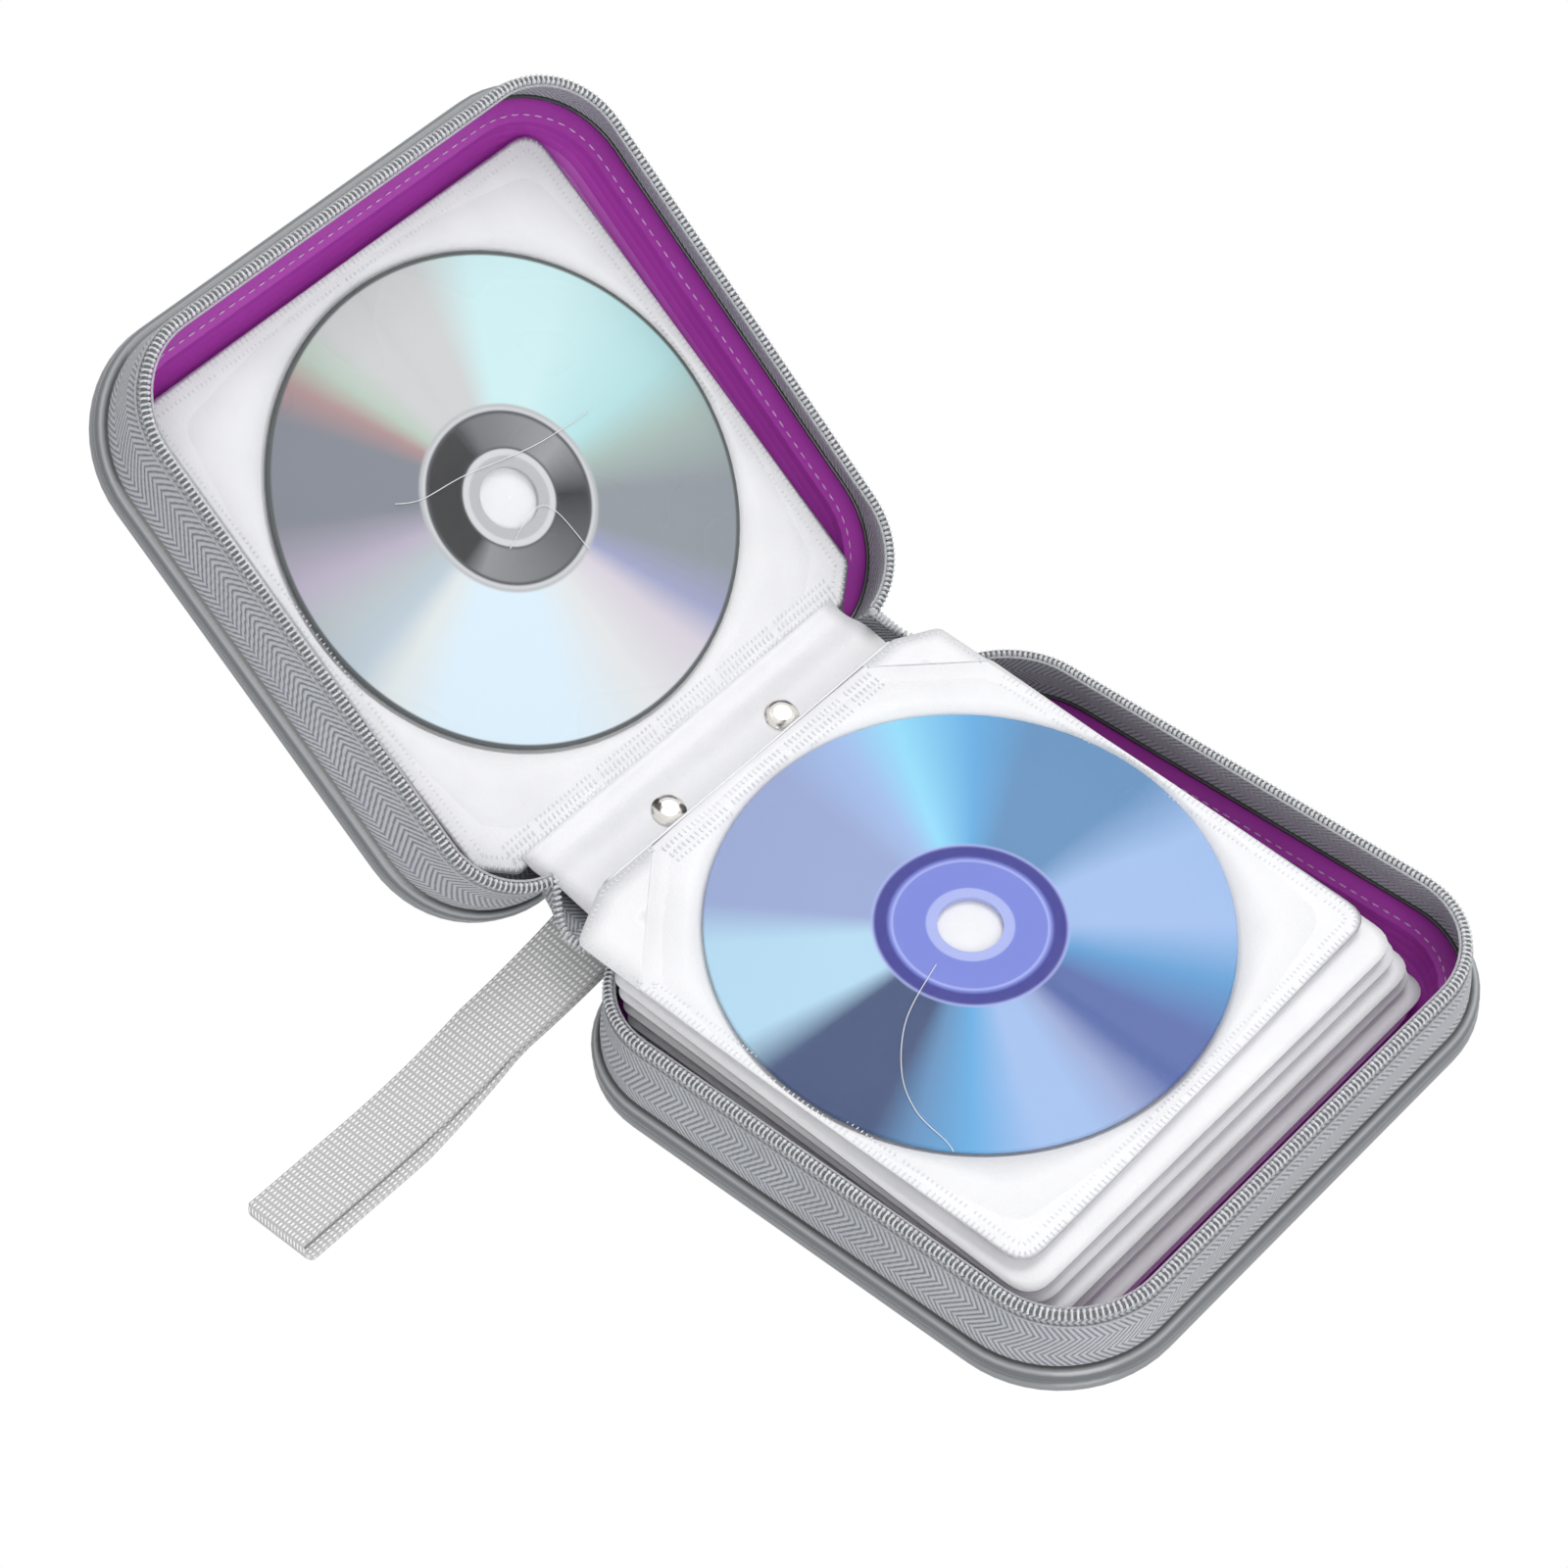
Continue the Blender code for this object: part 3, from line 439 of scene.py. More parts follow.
def coil_shader():
    """Nylon monofilament: smooth, pale and a little uneven."""
    shader = Shader("zip_coil", (0.55, 0.56, 0.57), 0.3, Coat_Weight=0.2)
    grain = shader.noise(1200.0, 2.0)
    shader.colour(shader.ramp(grain, ((0.3, (0.46, 0.47, 0.49)), (0.7, (0.74, 0.75, 0.77)))))
    return shader.rough(grain, 0.22, 0.42).material


def webbing_shader():
    """Flat webbing: rows of raised pale knots over a grey ground, from UV in metres."""
    shader = Shader("webbing", (0.6, 0.6, 0.6), 0.7, Sheen_Weight=0.2)
    u, v, _ = shader.split(shader.coordinates("UV"))
    waves = []
    for socket, pitch in ((u, WEB_ROW_PITCH), (v, WEB_KNOT_PITCH)):
        wave = shader.math("SINE", shader.math("MULTIPLY", socket, 2 * math.pi / pitch))
        waves.append(shader.math("MULTIPLY", shader.math("ADD", wave, 1.0), 0.5))
    knots = shader.math("MULTIPLY", waves[0], waves[1])
    fuzz = shader.noise(1500.0, 2.0)
    shade = shader.math("ADD", knots, shader.math("MULTIPLY", fuzz, 0.2))
    shader.colour(shader.ramp(
        shade, ((0.08, (0.46, 0.46, 0.46)), (0.38, (0.66, 0.66, 0.66)), (0.66, (1.0, 1.0, 0.99)))
    ))
    return shader.bump(knots, 0.00035, 0.9).material


def disc_place(shader, centre, tangent, other):
    """Turn round the disc and distance from its middle, from place on the object."""
    place = shader.coordinates()
    shifted = shader.node("VectorMath", operation="SUBTRACT")
    shader.link(place, shifted.inputs[0])
    shifted.inputs[1].default_value = centre
    reaches = []
    for axis in (tangent, other):
        dot = shader.node("VectorMath", operation="DOT_PRODUCT")
        shader.link(shifted.outputs[0], dot.inputs[0])
        dot.inputs[1].default_value = axis
        reaches.append(dot.outputs["Value"])
    x, y = reaches
    angle = shader.math("ARCTAN2", y, x)
    turn = shader.math("FRACT", shader.math("ADD", shader.math("DIVIDE", angle, 2 * math.pi), 1.0))
    squared = shader.math("ADD", shader.math("MULTIPLY", x, x), shader.math("MULTIPLY", y, y))
    return turn, shader.math("SQRT", squared)


def bands(shader, radius, stops):
    """A stepped ramp over the distance from the middle, with stops in metres."""
    reach = DISC_RADIUS * 1.02
    share = shader.math("DIVIDE", radius, reach)
    return shader.ramp(share, [(place / reach, colour) for place, colour in stops])


def under_film(red, green, blue):
    """Base colour that shows as a display colour (0 to 255) through the window's haze."""
    shown = [((value / 255 + 0.055) / 1.055) ** 2.4 for value in (red, green, blue)]
    return tuple(max((value / FILM_GAIN - FILM_HAZE) / (1 - FILM_HAZE), 0.004) for value in shown)


def sheen(shader, turn, stops):
    """Painted sheen and reflection: display colours round a disc, from stops in degrees."""
    return shader.ramp(turn, [(degrees / 360, under_film(*shown)) for degrees, shown in stops])


def hub_rings(shader, radius, stops):
    """Display colours of a disc's rings, from stops in metres."""
    return bands(shader, radius, [(place, under_film(*shown)) for place, shown in stops])


def start_disc(name, colour, gloss, waves, place):
    """A disc's material with its turn, its slightly wavy turn, its radius and the waves."""
    shader = Shader(name, colour, Specular_IOR_Level=gloss)
    turn, radius = disc_place(shader, *place)
    wobble = shader.noise(waves, 2.0)
    swirl = shader.math("ADD", turn, shader.math("MULTIPLY", wobble, 0.012))
    return shader, turn, swirl, radius, wobble


def blue_disc_shader(*place):
    """The back page's disc: painted sheen in sectors of blue light round a violet hub."""
    shader, _, swirl, radius, wobble = start_disc("blue_disc", (0.1, 0.3, 0.7), 0.12, 18.0, place)
    dusk, sky, ice = (95, 112, 170), (100, 158, 208), (162, 190, 232)
    steel, aqua, lavender = (104, 146, 188), (150, 218, 245), (155, 170, 210)
    mist, navy, azure = (180, 215, 236), (52, 88, 124), (106, 172, 222)
    # Painted sheen: the disc's rainbow glints, set as fixed colours by the turn round its centre.
    sectors = sheen(shader, swirl, (
        (0, dusk), (14, dusk), (30, sky), (46, ice), (72, ice), (90, steel), (118, steel),
        (132, azure), (150, aqua), (162, ice), (180, lavender), (220, lavender), (231, mist),
        (256, mist), (266, navy), (292, navy), (301, steel), (314, azure), (328, ice),
        (340, ice), (350, lavender), (360, dusk),
    ))
    band, line, deep = (128, 140, 218), (176, 186, 238), (46, 70, 150)
    hub = hub_rings(shader, radius, (
        (0.0000, line), (0.0098, line), (0.0103, band), (0.0172, band), (0.0176, line),
        (0.0182, band), (0.0190, deep), (0.0214, deep), (0.0222, line),
    ))
    on_hub = bands(shader, radius, ((0.0220, WHITE), (0.0226, BLACK)))
    shader.colour(shader.mix(on_hub, sectors, hub))
    return shader.rough(wobble, 0.18, 0.32).material


def silver_disc_shader(*place):
    """The front page's disc: pale sectors of painted sheen, a dark mirror ring of painted reflection
    and a dark rim.
    """
    shader, turn, swirl, radius, wobble = start_disc(
        "silver_disc", (0.6, 0.62, 0.6), 0.3, 14.0, place
    )
    pearl, lilac, grey = (226, 228, 229), (164, 168, 200), (150, 156, 162)
    sage, mint, frost = (172, 190, 184), (184, 224, 226), (206, 236, 238)
    silver, rose, slate = (207, 209, 209), (178, 150, 150), (138, 142, 151)
    mauve, sky = (188, 180, 198), (219, 236, 247)
    # Painted sheen: pale glints of the disc, set as fixed colours by the turn round its centre.
    sectors = sheen(shader, swirl, (
        (0, pearl), (20, (214, 208, 218)), (29, lilac), (42, grey), (62, grey), (80, sage),
        (96, mint), (130, frost), (152, frost), (166, silver), (193, silver),
        (203, (188, 204, 192)), (211, rose), (220, slate), (244, slate), (260, mauve),
        (270, (188, 196, 200)), (282, (190, 204, 214)), (291, (224, 230, 230)), (304, sky),
        (338, sky), (360, pearl),
    ))
    # Painted reflection in the mirror ring: lighter and darker by the turn round the disc.
    mirror = sheen(shader, turn, (
        (0, (120, 122, 124)), (60, (70, 72, 76)), (100, (160, 162, 164)), (170, (120, 122, 126)),
        (186, (44, 46, 50)), (285, (50, 52, 56)), (300, (150, 152, 154)), (360, (120, 122, 124)),
    ))
    line, ring, deep = (214, 216, 218), (190, 192, 195), (96, 98, 102)
    hub = hub_rings(shader, radius, (
        (0.0000, ring), (0.0100, ring), (0.0104, line), (0.0116, line), (0.0120, deep),
        (0.0208, deep), (0.0214, line), (0.0222, ring), (0.0228, ring),
    ))
    in_mirror = bands(shader, radius, (
        (0.0120, BLACK), (0.0126, WHITE), (0.0200, WHITE), (0.0206, BLACK),
    ))
    on_hub = bands(shader, radius, ((0.0224, WHITE), (0.0230, BLACK)))
    edge = bands(shader, radius, ((0.0586, BLACK), (0.0591, WHITE)))
    body = shader.mix(on_hub, sectors, shader.mix(in_mirror, hub, mirror))
    shader.colour(shader.mix(edge, body, (0.06, 0.07, 0.07)))
    return shader.rough(wobble, 0.2, 0.36).material


def thread_shader(name, dark, light):
    """Twisted thread or cord between two tones."""
    shader = Shader(name, light, 0.6, Sheen_Weight=0.2)
    twist = shader.noise(2500.0, 2.0)
    shader.colour(shader.ramp(twist, ((0.3, dark), (0.7, light))))
    return shader.bump(twist, 0.0001, 0.6).material


# Meshes


def add_object(name, mesh, look, body):
    """A smooth piece in one material, which rides a body unless body is None."""
    piece = bpy.data.objects.new(name, mesh)
    bpy.context.scene.collection.objects.link(piece)
    mesh.materials.clear()
    mesh.materials.append(materials[look])
    mesh.shade_smooth()
    if body:
        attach(piece, body)
    return piece


def grid_mesh(name, rows, ring=False):
    """A surface through rows of points, with UV in metres along and across the rows."""
    count = len(rows[0])
    rows = [[Vector(point) for point in row] for row in rows]
    if ring:
        rows = [[*row, row[0]] for row in rows]
        count += 1
    along = [0.0]
    for step in range(1, count):
        along.append(along[-1] + (rows[0][step] - rows[0][step - 1]).length)
    across = [0.0]
    middle = count // 2
    for row in range(1, len(rows)):
        across.append(across[-1] + (rows[row][middle] - rows[row - 1][middle]).length)
    mesh = bpy.data.meshes.new(name)
    surface = bmesh.new()
    layer = surface.loops.layers.uv.new("UVMap")
    grid = [[surface.verts.new(point) for point in row] for row in rows]
    for row in range(len(rows) - 1):
        for step in range(count - 1):
            corners = ((row, step), (row, step + 1), (row + 1, step + 1), (row + 1, step))
            face = surface.faces.new([grid[r][s] for r, s in corners])
            for loop, (r, s) in zip(face.loops, corners):
                loop[layer].uv = (along[s], across[r])
    surface.normal_update()
    surface.to_mesh(mesh)
    surface.free()
    return mesh


def closed_mesh(name, rows):
    """A closed skin through rings of points, from one end's middle to the other's."""
    mesh = grid_mesh(name, rows, ring=True)
    surface = bmesh.new()
    surface.from_mesh(mesh)
    bmesh.ops.remove_doubles(surface, verts=surface.verts[:], dist=MERGE_DISTANCE)
    edges = [edge for edge in surface.edges if edge.is_boundary]
    bmesh.ops.holes_fill(surface, edges=edges, sides=0)
    bmesh.ops.recalc_face_normals(surface, faces=surface.faces[:])
    surface.to_mesh(mesh)
    surface.free()
    return mesh


def solid(piece, thickness, offset=0.0):
    """Gives a surface piece a real thickness in its mesh."""
    modifier = piece.modifiers.new("Thickness", "SOLIDIFY")
    modifier.thickness = thickness
    modifier.offset = offset
    modifier.use_even_offset = False
    return piece


def rounded_ring(spine_inset, side_inset, outer_inset, radius, steps=14):
    """Points once round a cover's outline, moved in from its edges, from the spine's near corner."""
    low_x = spine_inset + radius
    high_x = COVER_LENGTH - outer_inset - radius
    reach_y = HALF_WIDTH - side_inset - radius
    corners = (
        (low_x, -reach_y, 180), (high_x, -reach_y, 270),
        (high_x, reach_y, 0), (low_x, reach_y, 90),
    )
    points = []
    for centre_x, centre_y, start in corners:
        for step in range(steps + 1):
            angle = math.radians(start + 90 * step / steps)
            points.append((
                centre_x + radius * math.cos(angle), centre_y + radius * math.sin(angle)
            ))
    return points


def zip_path(spine_inset, side_inset, outer_inset):
    """The three open sides of the outline, short of the spine at both ends."""
    radius = CORNER_RADIUS - side_inset
    ring = rounded_ring(spine_inset, side_inset, outer_inset, radius)
    centre_x = spine_inset + radius
    reach_y = HALF_WIDTH - side_inset - radius
    start_x = centre_x - radius * math.cos(ZIP_START_ANGLE)
    start_y = reach_y + radius * math.sin(ZIP_START_ANGLE)
    between = [point for point in ring if abs(point[1]) > start_y or point[0] > centre_x]
    return [(start_x, -start_y), *between, (start_x, start_y)]


def even_steps(points, pitch):
    """Points and directions at an even pitch along a line."""
    points = [Vector(point) for point in points]
    lengths = [0.0]
    for before, after in zip(points, points[1:]):
        lengths.append(lengths[-1] + (after - before).length)
    count = int(lengths[-1] / pitch)
    places = []
    segment = 0
    for step in range(count + 1):
        reach = step * lengths[-1] / count
        while segment < len(points) - 2 and lengths[segment + 1] < reach:
            segment += 1
        part = (reach - lengths[segment]) / max(lengths[segment + 1] - lengths[segment], 1e-9)
        before, after = points[segment], points[segment + 1]
        places.append((before.lerp(after, part), (after - before).normalized()))
    return places


def place_matrix(place, along, up=UP):
    """A frame at a place, with X along the line and Z as near to up as it can be."""
    side = up.cross(along).normalized()
    top = along.cross(side).normalized()
    turned = Matrix((along, side, top)).transposed().to_4x4()
    return Matrix.Translation(place) @ turned


def many(name, *groups):
    """One mesh of small shapes at many places; each group is a shape and its matrices."""
    mesh = bpy.data.meshes.new(name)
    whole = bmesh.new()
    for shape, matrices in groups:
        for matrix in matrices:
            small = shape.copy()
            small.transform(matrix)
            whole.from_mesh(small)
            bpy.data.meshes.remove(small)
    whole.to_mesh(mesh)
    whole.free()
    return mesh


def bead_mesh(size, segments=8, rings=5):
    """A small ellipsoid of a given size."""
    mesh = bpy.data.meshes.new("bead")
    bead = bmesh.new()
    bmesh.ops.create_uvsphere(bead, u_segments=segments, v_segments=rings, radius=0.5)
    bmesh.ops.scale(bead, vec=size, verts=bead.verts[:])
    bead.to_mesh(mesh)
    bead.free()
    return mesh


def dash_mesh(size):
    """A weld's dash, with fewer faces than other beads because there are thousands."""
    return bead_mesh(size, 6, 4)


def cover_line(side, path, height):
    """A path round a cover at one height over its rim plane, in the world."""
    sign, to_world = COVERS[side]
    return [to_world @ Vector((sign * x, y, height)) for x, y in path]


def away_from(matrix):
    """The direction of a frame's own Z in the world."""
    return (matrix.to_3x3() @ UP).normalized()


# Rims: two beads round each cover, with a groove between them that their materials paint dark as
# shade


def build_rim(side):
    sign = COVERS[side][0]
    for name, (middle, half), start in (
        ("upper", RIM_UPPER_BEAD, 90), ("lower", RIM_LOWER_BEAD, RIM_BEAD_SWEEP - 90)
    ):
        rows = []
        for step in range(RIM_STEPS + 1):
            angle = math.radians(start - RIM_BEAD_SWEEP * step / RIM_STEPS)
            inset = RIM_THICKNESS * (1 - max(math.cos(angle), 0.0))
            ring = rounded_ring(inset, inset, inset, CORNER_RADIUS - inset)
            rows.append(cover_line(side, ring, middle + half * math.sin(angle)))
        mesh = grid_mesh("%s_rim_%s" % (side, name), rows, ring=True)
        bead = add_object(mesh.name, mesh, "rim_" + name, side)
        solid(bead, RIM_SKIN, offset=-1.0 if sign > 0 else 1.0)
        if name == "upper":
            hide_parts(side + "_rim")


# Zip: woven tape walls and the teeth of the coils


def build_tape(side):
    """The tape's wall, which leans in from the rim to the coil and bellies out a little."""
    rows = []
    foot = FLANGE_TOP + 0.0003
    top = COIL_HEIGHT - 0.0002
    for step in range(TAPE_LEVELS + 1):
        level = step / TAPE_LEVELS
        ease = level * level * (3 - 2 * level)
        belly = TAPE_BELLY * math.sin(math.pi * level)
        path = zip_path(*(
            TAPE_FOOT_INSET + (inset - TAPE_FOOT_INSET) * ease - belly
            for inset in (COIL_INSET_SPINE, COIL_LEAN[side], COIL_INSET_OUTER)
        ))
        rows.append(cover_line(side, path, foot + (top - foot) * level))
    tape = add_object(side + "_tape_wall", grid_mesh(side + "_tape_wall", rows), "tape", side)
    solid(tape, TAPE_THICKNESS)
    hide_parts(side + "_zip_tape")


def tube_mesh(name, line, radius, segments=8):
    """A round tube through points, with open ends."""
    rows = []
    for segment in range(segments + 1):
        angle = 2 * math.pi * segment / segments
        row = []
        for index, point in enumerate(line):
            before, after = line[max(index - 1, 0)], line[min(index + 1, len(line) - 1)]
            along = (after - before).normalized()
            side = UP.cross(along).normalized()
            top = along.cross(side)
            row.append(point + (side * math.cos(angle) + top * math.sin(angle)) * radius)
        rows.append(row)
    return grid_mesh(name, rows)


def tooth_mesh():
    """One turn of the coil: a bar across the tape, with a round head at its inner end."""
    return many(
        "tooth", (bead_mesh(TOOTH_BAR), [Matrix.Identity(4)]),
        (bead_mesh(TOOTH_HEAD), [Matrix.Translation(TOOTH_HEAD_PLACE)]),
    )


def build_coil(side):
    """The coil's teeth, the dark core that they wind round, which shows as painted shade in the gaps
    between teeth, and the tape's cords beside them.
    """
    sign, to_world = COVERS[side]
    up = away_from(to_world)
    insets = (COIL_INSET_SPINE, COIL_LEAN[side], COIL_INSET_OUTER)
    line = cover_line(side, zip_path(*insets), COIL_HEIGHT)
    if sign < 0:
        line.reverse()
    matrices = [place_matrix(place, along, up) for place, along in even_steps(line, TOOTH_PITCH)]
    coil = add_object(side + "_coil_teeth", many("teeth", (tooth_mesh(), matrices)), "coil", side)
    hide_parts(side + "_zip_coil")
    # The core is dark so that the gaps between the teeth show painted shade.
    core = tube_mesh(side + "_coil_core", line, COIL_CORE_RADIUS)
    add_object(core.name, core, "core_painted_shade", side)
    for name, (drop, shift) in CORD_DROPS_AND_SHIFTS.items():
        path = zip_path(*(inset - shift for inset in insets))
        cord = tube_mesh(
            "%s_cord_%s" % (side, name), cover_line(side, path, COIL_HEIGHT - drop), CORD_RADIUS, 6
        )
        add_object(cord.name, cord, "tape_edge", side)


def build_stitches(side):
    """The seam that sews the cover to its tape: short threads in a row on the flange."""
    radius = CORNER_RADIUS - STITCH_INSET
    ring = rounded_ring(STITCH_INSET, STITCH_INSET, STITCH_INSET, radius)
    open_sides = [point for point in ring if point[0] > STITCH_INSET + radius * STITCH_START]
    line = cover_line(side, open_sides, FLANGE_TOP + STITCH_LIFT)
    up = away_from(COVERS[side][1])
    matrices = [place_matrix(place, along, up) for place, along in even_steps(line, STITCH_PITCH)]
    add_object(side + "_stitches", many("threads", (bead_mesh(STITCH_SIZE), matrices)), "thread",
               side)


# Sleeves: pages with pockets, pillows below them, and the weld dashes


def pocket_frame(side):
    """Frame of an open page, with X pointing out from the spine and Z up off the page."""
    sign, to_world = COVERS[side]
    place, slope = POCKETS[side]
    flip = Matrix.Diagonal((sign, sign, 1.0, 1.0)) if sign < 0 else Matrix.Identity(4)
    return to_world @ Matrix.Translation(place) @ Matrix.Rotation(slope, 4, "Y") @ flip


def rounded_polygon(corners, steps=6):
    """Points round a polygon whose corners each have their own radius."""
    points = []
    count = len(corners)
    for index, (x, y, radius) in enumerate(corners):
        corner = Vector((x, y))
        before = (Vector(corners[index - 1][:2]) - corner).normalized()
        after = (Vector(corners[(index + 1) % count][:2]) - corner).normalized()
        half_angle = before.angle(after) / 2
        reach = radius / math.tan(half_angle)
        start, end = corner + before * reach, corner + after * reach
        for step in range(steps + 1):
            share = step / steps
            curve = start.lerp(corner, share).lerp(corner.lerp(end, share), share)
            points.append(curve)
    return points


def in_pocket(side, corners):
    """Corners given from the spine, in the open page's frame round its disc's centre."""
    sign = COVERS[side][0]
    place, slope = POCKETS[side]
    return [
        ((x - abs(place[0])) / math.cos(slope), sign * (y - place[1]), radius)
        for x, y, radius in corners
    ]


def page_outline(side):
    """An open page's outline from its disc's centre, X out from the spine."""
    points = rounded_polygon(in_pocket(side, BACK_PAGE if side == "back" else FRONT_PAGE))
    return points if side == "back" else points[::-1]


def ray_reach(outline, angle):
    """Distance from the middle to the outline in one direction."""
    along = Vector((math.cos(angle), math.sin(angle)))
    best = 1.0
    for index, first in enumerate(outline):
        edge = first - outline[index - 1]
        cross = along.x * edge.y - along.y * edge.x
        if abs(cross) < 1e-12:
            continue
        start = outline[index - 1]
        reach = (start.x * edge.y - start.y * edge.x) / cross
        share = (start.x * along.y - start.y * along.x) / cross
        if reach > 0 and -1e-6 <= share <= 1 + 1e-6:
            best = min(best, reach)
    return best


def page_angles(outline):
    """Directions that meet every outline point, with even ones between them."""
    angles = {round(math.atan2(point.y, point.x) % (2 * math.pi), 5) for point in outline}
    angles.update(round(2 * math.pi * step / 120, 5) for step in range(120))
    return sorted(angles)


def ripple(x, y, amount):
    """Soft waves that loose film lies in."""
    waves = math.sin(x * 95 + 1.3) * math.cos(y * 70) + 0.6 * math.sin(x * 40 + y * 120)
    return amount * waves


def page_rows(outline, levels, matrix):
    """Rings of points from the middle out; each level gives radius or share, and height."""
    rows = []
    for kind, value, height, wave in levels:
        row = []
        for angle in page_angles(outline):
            reach = ray_reach(outline, angle)
            inner = min(SEAT_RIM, reach - 0.0006)
            radius = value if kind == "radius" else inner + (reach - inner) * value
            radius = min(radius, reach - 0.0004) if kind == "radius" else radius
            x, y = radius * math.cos(angle), radius * math.sin(angle)
            row.append(matrix @ Vector((x, y, height + ripple(x, y, wave))))
        rows.append(row)
    return rows


def build_page(side):
    """The open page: a film backing that dips under its disc, and a clear window over it."""
    outline = page_outline(side)
    matrix = pocket_frame(side)
    top = [
        ("radius", 0.004, PAGE_SEAT, 0), ("radius", 0.030, PAGE_SEAT, 0),
        ("radius", SEAT_RADIUS, PAGE_SEAT, 0), ("share", 0.0, -0.00035, 0),
        ("share", 0.3, -0.00015, 0.00008), ("share", 0.7, -0.0001, 0.00016),
        ("share", 0.94, -0.00015, PAGE_WAVE), ("share", 1.0, -0.0004, PAGE_WAVE),
    ]
    bottom = [
        ("share", 0.95, -0.0007, PAGE_WAVE), ("share", 0.5, -0.0013, 0.0001),
        ("radius", SEAT_RADIUS - 0.001, PAGE_BACK, 0), ("radius", 0.030, PAGE_BACK, 0),
        ("radius", 0.004, PAGE_BACK, 0),
    ]
    mesh = closed_mesh(side + "_page", page_rows(outline, top + bottom, matrix))
    page = add_object(side + "_page", mesh, "film", None)
    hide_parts(side + "_sleeve_top")
    over = [
        ("radius", 0.0004, WINDOW_LIFT, 0), ("radius", 0.030, WINDOW_LIFT, 0.00004),
        ("radius", DISC_RADIUS - 0.0004, WINDOW_LIFT, 0.00003),
        ("radius", SEAT_RADIUS, WINDOW_LIFT - 0.0003, 0), ("share", 0.12, 0.00008, 0),
        ("share", 0.3, 0.00012, 0.00008), ("share", 0.62, 0.00014, 0.00015),
    ]
    mesh = grid_mesh(side + "_window", page_rows(outline, over, matrix), ring=True)
    window = add_object(side + "_window", mesh, "clear", None)
    solid(window, WINDOW_THICKNESS)
    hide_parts(side + "_sleeve_window")
    welds = build_page_welds(side, outline, matrix)
    for piece in (page, window, welds):
        if side == "back":
            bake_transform(piece)
        else:
            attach(piece, "front")


def inset_line(outline, inset):
    """A closed line inside an outline, moved in by a distance along its normals."""
    count = len(outline)
    line = []
    for index, point in enumerate(outline):
        edge = outline[(index + 1) % count] - outline[index - 1]
        normal = Vector((-edge.y, edge.x)).normalized()
        line.append(point + normal * inset)
    return line


def in_groups(places):
    """Leaves out the last place of every group, as the welding bar's gaps do."""
    return [place for number, place in enumerate(places) if number % WELD_GROUP != WELD_GROUP - 1]


def weld_places(points, pitch=WELD_PITCH):
    """Places along a flat line for weld dashes."""
    return in_groups(even_steps([(*point, 0.0) for point in points], pitch))


def build_page_welds(side, outline, matrix):
    """Rows of pressed dashes near the page's edges, and double rows beside the spine."""
    matrices = {"dash": [], "dot": []}
    for inset, kind, pitch in EDGE_WELDS:
        line = inset_line(outline, inset)
        for place, along in weld_places([*line, line[0]], pitch):
            if side == "back" and place.x < CHAMFER_END - POCKETS[side][0][0]:
                continue
            height = ripple(place.x, place.y, 0.0002) - WELD_SINK
            at = Vector((place.x, place.y, height))
            matrices[kind].append(matrix @ place_matrix(at, along))
    spine_edge = min(point.x for point in outline)
    near, far = INNER_WELD_REACH[side]
    for inset, kind in INNER_WELDS:
        x = spine_edge + inset
        for place, along in weld_places([(x, -near), (x, far)]):
            if place.length < SEAT_RIM:
                continue
            at = Vector((place.x, place.y, 0.00002))
            matrices[kind].append(matrix @ place_matrix(at, along))
    mesh = many(
        side + "_welds", (dash_mesh(WELD_DASH), matrices["dash"]),
        (dash_mesh(WELD_DOT), matrices["dot"]),
    )
    return add_object(side + "_welds", mesh, "weld", None)


def build_corner_flap(name, corners):
    """A corner of the back page by the spine: a flat film flap with weld dashes near its edge, which
    rides the back cover.
    """
    matrix = pocket_frame("back")
    outline = rounded_polygon(in_pocket("back", corners))
    seam = (outline[0] + outline[-1]) / 2
    mesh = bpy.data.meshes.new("flap_" + name)
    surface = bmesh.new()
    rows = []
    for share in (1.0, 0.6, 0.2):
        rows.append([
            surface.verts.new(matrix @ Vector((*seam.lerp(point, share), -0.0004)))
            for point in outline
        ])
    middle = surface.verts.new(matrix @ Vector((*seam, -0.0004)))
    for outer, inner in zip(rows, rows[1:]):
        for step in range(len(outline) - 1):
            surface.faces.new((outer[step], outer[step + 1], inner[step + 1], inner[step]))
    for step in range(len(outline) - 1):
        surface.faces.new((rows[-1][step], rows[-1][step + 1], middle))
    bmesh.ops.recalc_face_normals(surface, faces=surface.faces[:])
    surface.to_mesh(mesh)
    surface.free()
    flap = add_object("flap_" + name, mesh, "film", "back")
    solid(flap, FLAP_THICKNESS)
    edge = [point.lerp(seam, 0.0011 / (point - seam).length) for point in outline]
    matrices = [
        matrix @ place_matrix(Vector((spot.x, spot.y, -WELD_SINK)), along)
        for spot, along in weld_places(edge)
    ]
    welds = add_object("flap_%s_welds" % name,
                       many(name + "_dashes", (dash_mesh(WELD_DASH), matrices)), "weld", "back")
    corner = sum(outline, Vector((0.0, 0.0))) / len(outline)
    seam_line = (outline[-1] - outline[0]).normalized()
    away = Vector((-seam_line.y, seam_line.x))
    if away.dot(corner - seam) < 0:
        away.negate()
    for piece in (flap, welds):
        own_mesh(piece)


def smooth_line(points, steps=8):
    """A smooth curve through points."""
    line = []
    for index, (first, second) in enumerate(zip(points, points[1:])):
        before = points[max(index - 1, 0)]
        after = points[min(index + 2, len(points) - 1)]
        for step in range(steps):
            t = step / steps
            line.append(
                first * (2 * t ** 3 - 3 * t ** 2 + 1) + second * (3 * t ** 2 - 2 * t ** 3)
                + (second - before) * 0.5 * (t ** 3 - 2 * t ** 2 + t)
                + (after - first) * 0.5 * (t ** 3 - t ** 2)
            )
    line.append(points[-1])
    return line


